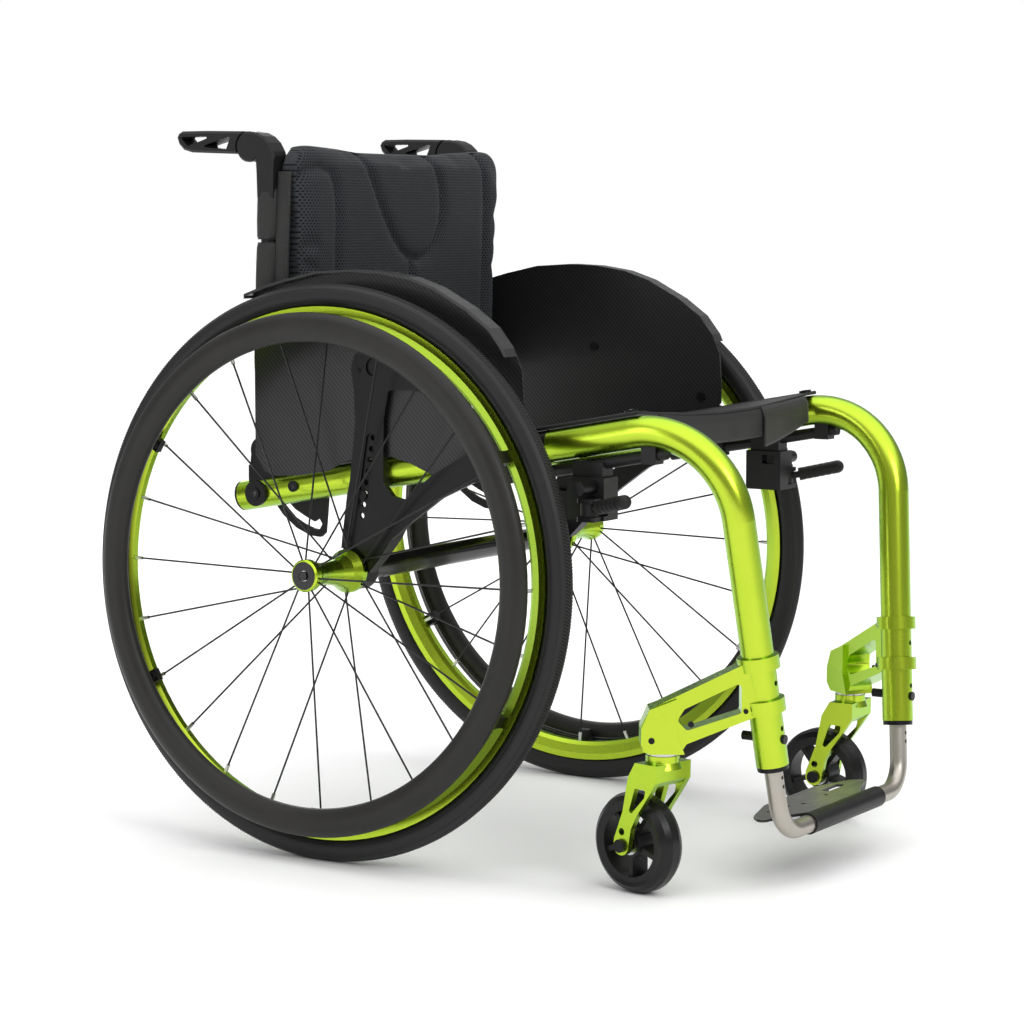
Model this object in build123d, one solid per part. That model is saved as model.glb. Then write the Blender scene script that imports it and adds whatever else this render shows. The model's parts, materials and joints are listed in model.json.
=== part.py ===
from build123d import *
from math import atan2, cos, degrees, radians, sin, sqrt
import os

# Rigid-frame manual wheelchair. +Z up, the user faces -Y, +X is the user's left. Millimetres and degrees.
# The model is drawn with y = 0 on the rear axle line, and written with its origin at the bottom centre of its box.

# ---------------------------------------------------------------- driving dimensions
GAP = 0.3                    # space between pieces of different bodies
RUNNING = 0.04               # radial clearance of a shaft that turns in a bore
FIT = 0.03                   # radial clearance of a clamped or pushed-in joint

# rear wheels
TYRE_R = 295.0               # 25-540 tyre on a 24 inch rim
TYRE_SECTION_R = 12.5
RIM_SEAT_R = 272.0
RIM_INNER_R = 252.0
RIM_HALF_WIDTH = 10.5
WHEEL_X = 245.0              # wheel plane at hub height, from the middle of the chair
CAMBER = 2.1                 # the tops of the wheels lean in
SPOKES = 24
SPOKE_R = 1.0
NIPPLE_R = 2.0
NIPPLE_LENGTH = 12.0
HANDRIM_R = 251.0            # centre line of the push ring
HANDRIM_OFFSET = 33.5        # push ring outboard of the wheel plane
HANDRIM_RADIAL = 30.0
HANDRIM_AXIAL = 20.0
HANDRIM_TABS = 6

# hub and quick-release axle, measured along the axle from the wheel plane, outboard positive
HUB_OUT = 36.0
HUB_IN = -44.5
HUB_CAP_R = 16.5
HUB_WAIST_R = 11.5
HUB_FLANGE_R = 22.5
OUTER_HOLES = (30.0, 15.5)   # place along the axle and radius of the outer ring of spoke holes
INNER_HOLES = (-38.5, 21.5)
WHEEL_BEARING = (14.3, 8.0)  # outer radius and width
AXLE_R = 6.35
BUTTON_R = 4.5
BUTTON_TRAVEL = 3.0
SLEEVE_R = 11.0
BOSS_R = 20.0
BOSS_IN = -66.0
BOSS_OUT = -46.5

# side frame tubes
TUBE_R = 16.0
TUBE_WALL = 2.0
TUBE_X = 185.0
SEAT_SLOPE = 0.1808          # rise per unit of run, towards the front
SEAT_REF = (-190.0, 423.4)   # a point of the seat tube's axis, y and z
TUBE_REAR_Y = 149.0
JOINER_Y = (-150.0, -237.0)
JOINER_R = 16.15
BEND_Y = -428.9
BEND_R = 92.0
LEG_END = (142.0, -461.3, 129.4)

# footrest
FOOT_R = 9.0
FOOT_WALL = 1.5
FOOT_BAR_Z = 60.0
FOOT_BEND_R = 34.0
FOOT_INSERT = 60.0
PLATE_SLEEVE_R = 10.75
PLATE_SLEEVE_HALF = 78.0
PLATE_THICKNESS = 3.0
PLATE_HALF_WIDTH = 122.0

# casters
STEM_XY = (205.1, -374.9)
STEM_R = 6.0
STEM_BEARING = (14.0, 8.0)
ARM_BASE_Z = 143.5
RING_Z = (230.8, 188.8)      # heights of the two clamp rings on the front tube
RING_R = 20.5
RING_HEIGHT = 13.0
ARM_HALF = 13.0
HOUSING_HALF = 17.0
CASTER_R = 50.0
CASTER_HALF = 15.0
CASTER_RIM_R = 38.0
CASTER_BEARING = (11.0, 7.0)
CASTER_AXLE_R = 4.0
TRAIL = 31.0
FORK_INSIDE = 19.0
FORK_LEG = 6.5
FORK_TOP_Z = 140.8
SWIVEL = {"right": 12.0, "left": 2.0}   # how far each caster is turned inwards at rest

# side guards and axle brackets
GUARD_THICKNESS = 2.0
GUARD_LIP_X = 221.0
BRACKET_THICKNESS = 6.0
HEIGHT_HOLES = 8
HEIGHT_HOLE_PITCH = 10.6
CAMBER_TUBE_R = 12.0

# brakes
RAIL_R = 6.0
RAIL_DROP = 25.0
RAIL_Y = (-162.0, -366.0)
BRAKE_BODY_X = (172.0, 199.0)
BRAKE_BODY_Y = (-304.0, -262.0)
LEVER_PIVOT = (206.0, -292.0)
LEVER_Z = 373.5
LEVER_HALF = 6.5
LEVER_TIP = (231.0, -350.0, 387.0)
LEVER_PIN_R = 3.0
SHOE_Z = 395.0
SHOE_R = 6.5
SHOE_HALF = 13.0
SHOE_TRAVEL = 29.0
LEVER_SWING = 40.0
SHOE_SLOPE = 0.17            # rearward part of the shoe's travel
SHOE_TYRE_GAP = 2.2

# folding backrest
POST_X = 183.0
POST_R = 11.0
POST_WALL = 1.8
PIVOT_Y = 121.0
PIVOT_Z = 412.0
PIVOT_R = 4.0
PIVOT_LUG_R = 14.0
LUG_HALF = 5.0
CHEEK = 5.5
LEAN = 2.1                   # the backrest leans forward by this much
POST_TOP = 278.0             # along the post from the pivot
PAD_BOTTOM = 70.0
PAD_TOP = 324.0
PAD_HALF_WIDTH = 191.0
PAD_THICKNESS = 30.0
CROSS_BAR_R = 8.0
CROSS_BAR_UP = 92.0
FOLD_RANGE = 61.0            # the back stops this far forward, just above the seat

# push handles
HANDLE_X = 185.0
HANDLE_HALF = 12.0
HANDLE_PIVOT = (133.0, 730.0)
HANDLE_HUB_R = 16.0
TONGUE_HALF = 5.0
HANDLE_PIN_R = 3.0

# seat
SLING_Y = (-340.0, 95.0)
HEM_LIFT = 0.2
VALANCE_DROP = 34.0

# ---------------------------------------------------------------- derived places
HUB_Z = (TYRE_R - TYRE_SECTION_R) * cos(radians(CAMBER)) + TYRE_SECTION_R
AXLE_DIR = Vector(cos(radians(CAMBER)), 0, sin(radians(CAMBER)))
WHEEL = Plane(origin=(WHEEL_X, 0, HUB_Z), x_dir=(0, 1, 0), z_dir=AXLE_DIR)
GUARD_X = TUBE_X + TUBE_R + GAP
BRACKET_X = GUARD_X + GUARD_THICKNESS
BASE = (Align.CENTER, Align.CENTER, Align.MIN)


def tube_z(y):
    """Height of the seat tube's axis at y."""
    return SEAT_REF[1] - SEAT_SLOPE * (y - SEAT_REF[0])


BEND = Vector(TUBE_X, BEND_Y, tube_z(BEND_Y))
LEG_DIR = (Vector(*LEG_END) - BEND).normalized()
SEAT_ANGLE = degrees(atan2(SEAT_SLOPE, 1.0))


def leg_point(z):
    """Point of the front tube's lower straight part at height z."""
    return BEND + LEG_DIR * ((z - BEND.Z) / LEG_DIR.Z)


# ---------------------------------------------------------------- small builders
def rod(start, end, radius, bore=0.0):
    start, end = Vector(*start), Vector(*end)
    place = Plane(origin=start, z_dir=end - start).location
    length = (end - start).length
    body = place * Cylinder(radius, length, align=BASE)
    if bore:
        body -= place * Cylinder(bore, length, align=BASE)
    return body


def turned(points):
    """Solid of revolution about local Z, from (radius, height) points."""
    return revolve(make_face(Plane.XZ * Polyline(*points, close=True)), Axis.Z)


def prism(points, x_from, x_to, radius=0.0):
    """A side-view outline of (y, z) points, extruded across the chair."""
    corner = FilletPolyline if radius else Polyline
    keys = {"radius": radius} if radius else {}
    face = make_face(Plane.YZ.offset(x_from) * corner(*points, close=True, **keys))
    return extrude(face, amount=x_to - x_from, dir=(1, 0, 0))


def block(x, y, z):
    """Box between two values on each axis."""
    place = Pos((x[0] + x[1]) / 2, (y[0] + y[1]) / 2, (z[0] + z[1]) / 2)
    return place * Box(abs(x[1] - x[0]), abs(y[1] - y[0]), abs(z[1] - z[0]))


def disc_x(y, z, radius, x_from, x_to, bore=0.0):
    return rod((x_from, y, z), (x_to, y, z), radius, bore)


def mirrored(shape):
    return mirror(shape, about=Plane.YZ)


def solids_of(*shapes):
    found = []
    for shape in shapes:
        found.extend(shape.solids())
    return found


def group(*shapes):
    return Compound(solids_of(*shapes))


def pair(shape):
    return group(shape, mirrored(shape))


NODES = {}


def both_sides(name, shape):
    NODES["left_" + name] = shape
    NODES["right_" + name] = mirrored(shape)


# ---------------------------------------------------------------- rear wheel, in the wheel's own frame
def spoke_lines():
    """Start, nipple and end point of every spoke."""
    lines = []
    for i in range(SPOKES):
        ring = OUTER_HOLES if i % 2 == 0 else INNER_HOLES
        lead = (8.0 if i % 2 == 0 else 20.0) * (1 if (i // 2) % 2 == 0 else -1)
        at_rim = radians(i * 360.0 / SPOKES)
        at_hub = at_rim + radians(lead)
        hub = Vector(ring[1] * cos(at_hub), ring[1] * sin(at_hub), ring[0])
        rim = Vector(RIM_INNER_R * cos(at_rim), RIM_INNER_R * sin(at_rim), 0)
        along = (rim - hub).normalized()
        lines.append((hub - along * 0.9, rim - along * (NIPPLE_LENGTH - 2.5), rim + along * 2.5))
    return lines


def rear_wheel():
    crown = TYRE_R - TYRE_SECTION_R
    tyre = revolve(Plane.XZ * (Pos(crown, 0) * Circle(TYRE_SECTION_R)), Axis.Z)
    tyre -= Cylinder(RIM_SEAT_R, 4 * TYRE_SECTION_R)
    w = RIM_HALF_WIDTH
    rim = turned([(RIM_SEAT_R, -w), (RIM_SEAT_R, w), (RIM_SEAT_R - 7, w), (RIM_INNER_R + 4, 6.5),
                  (RIM_INNER_R, 3.5), (RIM_INNER_R, -3.5), (RIM_INNER_R + 4, -6.5), (RIM_SEAT_R - 7, -w)])
    spokes = []
    for hub_end, joint, rim_end in spoke_lines():
        spokes.append(rod(hub_end, joint, SPOKE_R) + rod(joint, rim_end, NIPPLE_R))
    bearing_r, bearing_w = WHEEL_BEARING
    hub = turned([(0, HUB_IN), (HUB_FLANGE_R - 1, HUB_IN), (HUB_FLANGE_R, HUB_IN + 2), (HUB_FLANGE_R, -36),
                  (17.5, -27), (13.5, -15), (HUB_WAIST_R, 0), (HUB_WAIST_R, 8), (13.5, 20),
                  (HUB_CAP_R, 27), (HUB_CAP_R, HUB_OUT - 1.5), (HUB_CAP_R - 1.5, HUB_OUT), (0, HUB_OUT)])
    bore_r = AXLE_R + 1.2
    hub -= Cylinder(bore_r, 200)
    pocket_out = HUB_OUT - 2 - bearing_w
    pocket_in = HUB_IN + 1.5 + bearing_w
    hub -= Pos(0, 0, pocket_out) * Cylinder(bearing_r, 40, align=BASE)
    hub -= Pos(0, 0, pocket_in - 40) * Cylinder(bearing_r, 40, align=BASE)
    ring = Cylinder(bearing_r, bearing_w, align=BASE) - Cylinder(AXLE_R + RUNNING, 40)
    bearings = group(Pos(0, 0, pocket_out) * ring, Pos(0, 0, pocket_in - bearing_w) * ring)
    cap = turned([(BUTTON_R + 1.2, HUB_OUT - 2), (bearing_r, HUB_OUT - 2), (bearing_r, HUB_OUT),
                  (bearing_r - 1, HUB_OUT + 0.4), (BUTTON_R + 2, HUB_OUT + 0.4), (BUTTON_R + 1.2, HUB_OUT)])
    for spoke in spokes:
        hub -= spoke
        rim -= spoke
    section = Plane.XZ * (Pos(HANDRIM_R, HANDRIM_OFFSET) * Ellipse(HANDRIM_RADIAL / 2, HANDRIM_AXIAL / 2))
    handrim = revolve(section, Axis.Z)
    tabs = []
    reach = (RIM_HALF_WIDTH - 2.5, HANDRIM_OFFSET)
    solid_ring = revolve(section, Axis.Z)
    for i in range(HANDRIM_TABS):
        turn = Rot(0, 0, (i + 0.5) * 360.0 / HANDRIM_TABS)
        tab = turn * (Pos(HANDRIM_R + 5, 0, sum(reach) / 2) * Box(9, 13, reach[1] - reach[0]))
        tab += turn * (Pos(HANDRIM_R - 2, 0, reach[0]) * Box(16, 13, 8, align=BASE))
        bolt = turn * (Pos(HANDRIM_R - 5, 0, reach[0] + 8) * Cylinder(4.2, 3.5, align=BASE))
        tabs.append(tab - solid_ring - rim)
        tabs.append(bolt - solid_ring)
    return {
        "wheel_tyre": tyre, "wheel_rim": rim, "wheel_spokes": group(*spokes),
        "wheel_hub": hub, "wheel_bearings": bearings, "wheel_hub_cap": cap,
        "handrim": handrim, "handrim_tabs": group(*tabs),
    }


def axle_parts():
    """Quick-release axle in its sleeve, and the button in its outer end, in the wheel's frame."""
    end = HUB_OUT - 2
    floor = end - 13.0
    axle = Pos(0, 0, BOSS_IN - 8) * Cylinder(AXLE_R, end - BOSS_IN + 8, align=BASE)
    axle -= Pos(0, 0, floor) * Cylinder(BUTTON_R + RUNNING, 20, align=BASE)
    button = Pos(0, 0, floor + BUTTON_TRAVEL + GAP) * Cylinder(BUTTON_R, 13.5, align=BASE)
    button = fillet(button.edges().group_by(Axis.Z)[-1], 0.8)
    inner_face = HUB_IN + 1.5 - GAP
    sleeve = Pos(0, 0, BOSS_IN - 4) * Cylinder(SLEEVE_R, BOSS_OUT - BOSS_IN + 4, align=BASE)
    sleeve += Pos(0, 0, BOSS_OUT) * Cylinder(SLEEVE_R - 2, inner_face - BOSS_OUT, align=BASE)
    sleeve -= Cylinder(AXLE_R + FIT, 400)
    return axle, button, sleeve


def wheel_sweep():
    """Space that the turning wheel and its inner spokes need, in the wheel's frame."""
    return turned([(0, HUB_IN - 1.2), (HUB_FLANGE_R + 2.5, HUB_IN - 1.2), (HUB_FLANGE_R + 2.5, INNER_HOLES[0] - 3.5),
                   (RIM_INNER_R, -3.5), (RIM_INNER_R, 80), (0, 80)])


# ---------------------------------------------------------------- side frames
def tube_along(path, radius, wall):
    start = Plane(origin=path @ 0, z_dir=path % 0)
    return sweep(start * (Circle(radius) - Circle(radius - wall)), path=path)


def seat_axis(y, x=TUBE_X):
    return Vector(x, y, tube_z(y))


FRONT_PATH = FilletPolyline(seat_axis(JOINER_Y[1]), BEND, Vector(*LEG_END), radius=BEND_R)
FRONT_TUBE_SPACE = sweep(Plane(origin=FRONT_PATH @ 0, z_dir=FRONT_PATH % 0) * Circle(TUBE_R + FIT), path=FRONT_PATH)


def front_tube():
    tube = tube_along(FRONT_PATH, TUBE_R, TUBE_WALL)
    foot = Vector(*LEG_END)
    for up in (38.0, 83.0):
        hole = foot - LEG_DIR * up
        tube -= rod(hole + Vector(0, -30, 0), hole, 2.6)
    return tube


def rear_tube():
    return rod(seat_axis(TUBE_REAR_Y), seat_axis(JOINER_Y[0]), TUBE_R, TUBE_R - TUBE_WALL)


def joiner():
    bore = TUBE_R - TUBE_WALL - FIT
    spigot = 24.0
    body = rod(seat_axis(JOINER_Y[0] - FIT), seat_axis(JOINER_Y[1] + FIT), JOINER_R)
    return body + rod(seat_axis(JOINER_Y[0] + spigot), seat_axis(JOINER_Y[1] - spigot), bore)


def tube_ends():
    """Plug of the rear tube and the ring in which the footrest tube slides."""
    back = (seat_axis(TUBE_REAR_Y) - seat_axis(0)).normalized()
    rear = seat_axis(TUBE_REAR_Y)
    plug = rod(rear - back * 14, rear + back, TUBE_R - TUBE_WALL - FIT)
    plug += rod(rear + back * FIT, rear + back * 2.5, TUBE_R)
    foot = Vector(*LEG_END)
    ring = rod(foot - LEG_DIR * 18, foot + LEG_DIR, TUBE_R - TUBE_WALL - FIT, FOOT_R + FIT)
    ring += rod(foot + LEG_DIR * FIT, foot + LEG_DIR * 4.5, TUBE_R - 0.6, FOOT_R + FIT)
    return plug, ring


def footrest_path():
    foot = Vector(*LEG_END)
    corner = leg_point(FOOT_BAR_Z)
    top = foot - LEG_DIR * FOOT_INSERT
    points = [top, corner, Vector(-corner.X, corner.Y, corner.Z), Vector(-top.X, top.Y, top.Z)]
    return FilletPolyline(*points, radius=FOOT_BEND_R)


def footrest():
    tube = tube_along(footrest_path(), FOOT_R, FOOT_WALL)
    foot = Vector(*LEG_END)
    for down in (12.0, 21.0):
        hole = foot + LEG_DIR * down
        for side in (1, -1):
            tube -= rod((side * hole.X, hole.Y - 20, hole.Z), (side * hole.X, hole.Y, hole.Z), 2.0)
    bar = leg_point(FOOT_BAR_Z)
    half = PLATE_SLEEVE_HALF
    sleeve = rod((-half, bar.Y, bar.Z), (half, bar.Y, bar.Z), PLATE_SLEEVE_R, FOOT_R + FIT)
    w = PLATE_HALF_WIDTH
    half = [(w - 66, 8), (w - 34, 22), (w, 31), (w - 16, 46), (w * 0.45, 61)]
    outline = [(x, bar.Y + y) for x, y in half] + [(-x, bar.Y + y) for x, y in reversed(half)]
    face = make_face(Plane.XY.offset(bar.Z + 4.5) * FilletPolyline(*outline, radius=6, close=True))
    plate = extrude(face, amount=PLATE_THICKNESS)
    for x in (-62.0, 62.0):
        plate -= Pos(x, bar.Y + 42, bar.Z) * extrude(SlotOverall(42, 9), amount=20)
    for x in (-26.0, 26.0):
        plate -= Pos(x, bar.Y + 32, bar.Z) * Cylinder(2.5, 40)
    plate -= rod((-2 * w, bar.Y, bar.Z), (2 * w, bar.Y, bar.Z), PLATE_SLEEVE_R + FIT)
    return tube, sleeve, plate


def footrest_screws():
    """Thumb screw at the back and set screw at the front of each lower tube end."""
    at = Vector(*LEG_END) - LEG_DIR * 27
    back = rod(at + Vector(0, TUBE_R - 0.2, 0), at + Vector(0, TUBE_R + 12, 0), 4.5)
    front = rod(at + Vector(0, -TUBE_R + 0.2, 0), at + Vector(0, -TUBE_R - 2.2, 0), 4.6)
    wall = rod(at - LEG_DIR * 20, at + LEG_DIR * 20, TUBE_R + FIT)
    return group(back - wall, front - wall)


# ---------------------------------------------------------------- casters
def arm_plane():
    mid = leg_point((RING_Z[0] + RING_Z[1]) / 2)
    along = Vector(STEM_XY[0] - mid.X, STEM_XY[1] - mid.Y, 0)
    reach = along.length
    along = along.normalized()
    return Plane(origin=(mid.X, mid.Y, 0), x_dir=along, z_dir=(along.Y, -along.X, 0)), reach


def caster_arm():
    place, reach = arm_plane()
    back = reach + 22.0
    outline = [(2, RING_Z[0] + 7), (reach + 14, 187), (back, 170), (back - 2, ARM_BASE_Z + 2),
               (back - 8, ARM_BASE_Z), (reach - 16, ARM_BASE_Z), (reach - 22, 153), (2, RING_Z[1] - 8)]
    web = make_face(place * Polyline(*outline, close=True))
    window = [(reach - 13, 176), (reach - 20, 187), (20, 213), (20, 183), (reach - 22, 166)]
    slot = make_face(place * FilletPolyline(*window, radius=4.0, close=True))
    arm = extrude(web, amount=ARM_HALF, both=True) - extrude(slot, amount=40, both=True)
    housing = [(reach - 20, ARM_BASE_Z), (back - 8, ARM_BASE_Z), (back, 152), (back, 168), (reach + 14, 187),
               (reach - 12, 197), (reach - 12, 165)]
    arm += extrude(make_face(place * Polyline(*housing, close=True)), amount=HOUSING_HALF, both=True)
    for z in RING_Z:
        at = leg_point(z)
        arm += rod(at - LEG_DIR * RING_HEIGHT / 2, at + LEG_DIR * RING_HEIGHT / 2, RING_R)
    arm -= rod(leg_point(LEG_END[2]), leg_point(RING_Z[0] + 60), TUBE_R + FIT)
    x, y = STEM_XY
    arm -= rod((x, y, ARM_BASE_Z - 10), (x, y, ARM_BASE_Z + 38), STEM_BEARING[0] + FIT)
    return arm


def stem_bearings():
    x, y = STEM_XY
    rings = []
    for z in (ARM_BASE_Z + 1.5, ARM_BASE_Z + 30 - STEM_BEARING[1]):
        rings.append(rod((x, y, z), (x, y, z + STEM_BEARING[1]), STEM_BEARING[0], STEM_R + RUNNING))
    shield_z = FORK_TOP_Z + GAP
    rings.append(rod((x, y, shield_z), (x, y, ARM_BASE_Z - FIT), 15.5, STEM_R + 1.0))
    return group(*rings)


def arm_screws():
    """Clamp screws of the two rings and of the bearing housing."""
    place, reach = arm_plane()
    screws = []
    for along, z in ((16.0, RING_Z[0] - 3.0), (16.0, RING_Z[1] - 4.0)):
        for side in (1, -1):
            at = place.from_local_coords((along, z, side * ARM_HALF))
            out = place.z_dir * side
            screws.append(rod(at, at + out * 1.6, 2.4) - caster_arm_solid)
    for along, z, half in ((reach - 26, 172.5, ARM_HALF), (reach + 12, 157.0, HOUSING_HALF)):
        at = place.from_local_coords((along, z, half))
        screws.append(rod(at, at + place.z_dir * 1.4, 3.0) - caster_arm_solid)
    return group(*screws)


def caster_fork():
    """Fork with its stem on the local Z axis, trailing towards local +Y, axle along local X."""
    inner, outer = FORK_INSIDE, FORK_INSIDE + FORK_LEG
    boss = 9.5
    t = TRAIL
    leg = [(-14, 134), (13, 134), (t - 9, 119), (t - 2, 84), (t + boss - 0.5, 56), (t + boss, CASTER_R),
           (t - boss, CASTER_R), (t - 13, 68), (t - 21, 83), (-3, 101), (-13, 116)]
    window = [(-1, 109), (13, 109), (t - 10, 85), (t - 14, 84), (1, 101)]
    fork = None
    for side in (1, -1):
        blade = prism(leg, side * inner, side * outer)
        blade += disc_x(t, CASTER_R, boss, side * inner, side * outer)
        blade -= prism(window, side * (inner - 1), side * (outer + 1), radius=2.0)
        blade -= disc_x(t - 1, CASTER_R + 14.0, 3.6, side * (inner - 1), side * (outer + 1))
        fork = blade if fork is None else fork + blade
    bridge = [(-14, 134), (13, 134), (20, 122), (16, 114), (-8, 112), (-13.5, 117)]
    fork += prism(bridge, -outer, outer)
    fork += Pos(0, 0, 128) * Cone(19, 15.5, FORK_TOP_Z - 128 - 4, align=BASE)
    fork += Pos(0, 0, 133) * Cylinder(16.5, FORK_TOP_Z - 133, align=BASE)
    fork -= disc_x(t, CASTER_R, CASTER_AXLE_R + FIT, -40, 40)
    fork -= disc_x(t, CASTER_R, CASTER_R + 3.5, -inner, inner)
    fork -= Pos(0, 0, 100) * Cylinder(STEM_R + FIT, 60, align=BASE)
    return fork


def caster_bolts():
    stem = Pos(0, 0, 113) * Cylinder(STEM_R, ARM_BASE_Z + 34 - 113, align=BASE)
    outer = FORK_INSIDE + FORK_LEG
    axle = disc_x(TRAIL, CASTER_R, CASTER_AXLE_R, -outer - 1, outer + 1)
    for side in (1, -1):
        axle += disc_x(TRAIL, CASTER_R, 6.5, side * (outer + FIT), side * (outer + 3.5))
        axle += disc_x(TRAIL, CASTER_R, 6.3, side * (CASTER_HALF + GAP), side * (FORK_INSIDE - FIT))
    return group(stem, axle)


def caster_wheel():
    half = CASTER_HALF
    r = CASTER_R
    tyre = turned([(CASTER_RIM_R, -half + 1), (r - 8, -half), (r - 3, -half + 4), (r, -half + 10),
                   (r, half - 10), (r - 3, half - 4), (r - 8, half), (CASTER_RIM_R, half - 1)])
    rim_in = CASTER_RIM_R - 5
    hub_r = CASTER_BEARING[0] + 3
    hub = turned([(rim_in, -half + 1), (CASTER_RIM_R, -half + 1), (CASTER_RIM_R, half - 1), (rim_in, half - 1)])
    hub += Cylinder(hub_r, 2 * half - 2)
    for i in range(5):
        arm = Rot(0, 0, i * 72) * (Pos((hub_r + rim_in) / 2, 0, 0) * Box(rim_in - hub_r + 4, 5, 2 * half - 8))
        hub += arm
    hub -= Cylinder(CASTER_BEARING[0] - 2, 100)
    w = CASTER_BEARING[1]
    rings = []
    for z in (-half + 1, half - 1 - w):
        hub -= Pos(0, 0, z) * Cylinder(CASTER_BEARING[0], w, align=BASE)
        ring = Cylinder(CASTER_BEARING[0], w, align=BASE) - Cylinder(CASTER_AXLE_R + RUNNING, 100)
        rings.append(Pos(0, 0, z) * ring)
    place = Pos(0, TRAIL, CASTER_R) * Rot(0, 90, 0)
    return place * tyre, place * hub, place * group(*rings)


# ---------------------------------------------------------------- side guard and axle bracket
def guard_outline():
    return [(121, 408), (121, 577), (95, 586), (68, 593), (27, 601.5), (-17, 604), (-52, 602.5), (-89, 597),
            (-120, 587), (-159, 567), (-186, 548), (-202, 528), (-212, 506), (-214, 478), (-214, 452),
            (-206, 445), (-166, 440), (-150, 412), (-122, 396), (-104, 398), (-77, 408.5), (-54, 414),
            (-6, 409), (10, 404), (26, 395.5), (63, 389), (96, 387), (108, 391)]


def side_guard():
    plate = prism(guard_outline(), GUARD_X, GUARD_X + GUARD_THICKNESS)
    whole = prism(guard_outline(), GUARD_X, GUARD_LIP_X)
    core = disc_x(0, HUB_Z, TYRE_R + 7.5, GUARD_X - 1, GUARD_LIP_X + 1)
    lower = block((GUARD_X - 1, GUARD_LIP_X + 1), (-300, 200), (300, 520))
    inner = prism([(y * 0.988, z - 2.6) for y, z in guard_outline()], GUARD_X + GUARD_THICKNESS, GUARD_LIP_X + 1)
    lip = whole - core - lower - inner
    lip = max(lip.solids(), key=lambda solid: solid.volume)
    return plate + lip


def bracket_outline():
    return [(8, 330), (-6, 388), (-10, 420), (-13, 446), (-12, 478), (-8, 503), (-13, 517), (-28, 524),
            (-52, 522), (-90, 508), (-130, 487), (-175, 458), (-222, 446), (-231, 440), (-231, 418),
            (-205, 402), (-158, 393), (-119, 375), (-84, 350), (-58, 330), (-40, 312)]


def axle_bracket(sleeve):
    x0, x1 = BRACKET_X, BRACKET_X + BRACKET_THICKNESS
    body = prism(bracket_outline(), x0, x1)
    window = [(-55, 482), (-49, 452), (-48, 388), (-60, 374), (-74, 371), (-108, 398), (-146, 419),
              (-166, 430), (-166, 437), (-128, 464), (-90, 483)]
    body -= prism(window, x0 - 1, x1 + 1, radius=4.0)
    foot = [(8, 330), (3, 345), (-66, 345), (-58, 330), (-38, 306), (-24, 292), (14, 300)]
    body += prism(foot, x0 - 14, x1)
    body += WHEEL.location * Pos(0, 0, BOSS_IN) * Cylinder(BOSS_R, BOSS_OUT - BOSS_IN, align=BASE)
    top, low = (-34.0, 433.0), (-19.5, 352.0)
    body -= prism([(-34 - 6, 436), (-34 + 6, 438), (-19.5 + 6, 352), (-19.5 - 6, 350)], x1 - 2, x1 + 1, radius=5.5)
    for i in range(HEIGHT_HOLES):
        t = i / (HEIGHT_HOLES - 1)
        y = top[0] + (low[0] - top[0]) * t
        z = top[1] + (low[1] - top[1]) * t
        body -= disc_x(y, z, 3.0, x0 - 20, x1 + 5)
    body -= disc_x(-36.5, 505, 9.6, x1 - 2.2, x1 + 1)
    for y_pair, reach in (((-48, -20), 11.0), ((-226, -169), 12.0)):
        y_mid = sum(y_pair) / 2
        pad = block((TUBE_X + 8, x0 + 0.5), y_pair, (tube_z(y_mid) - reach, tube_z(y_mid) + reach))
        body += pad
    body -= rod(seat_axis(JOINER_Y[0]), seat_axis(200), TUBE_R + FIT)
    body -= rod(seat_axis(JOINER_Y[0] + 1), seat_axis(-300), JOINER_R + FIT)
    body -= WHEEL.location * wheel_sweep()
    body -= WHEEL.location * Cylinder(SLEEVE_R + FIT, 400)
    return max(body.solids(), key=lambda solid: solid.volume)


def camber_tube(bracket, sleeve):
    end = WHEEL.from_local_coords((0, 0, BOSS_IN + 8))
    tube = rod((-end.X, 0, end.Z), (end.X, 0, end.Z), CAMBER_TUBE_R)
    boss = WHEEL.location * (Pos(0, 0, BOSS_IN - FIT) * Cylinder(BOSS_R + FIT, 60, align=BASE))
    tube -= boss
    tube -= mirrored(boss)
    bore = WHEEL.location * (Pos(0, 0, BOSS_IN - 30) * Cylinder(SLEEVE_R + FIT, 60, align=BASE))
    return tube - bore - mirrored(bore)


# ---------------------------------------------------------------- brakes
def rail_point(y):
    return Vector(TUBE_X, y, tube_z(y) - RAIL_DROP)


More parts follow.
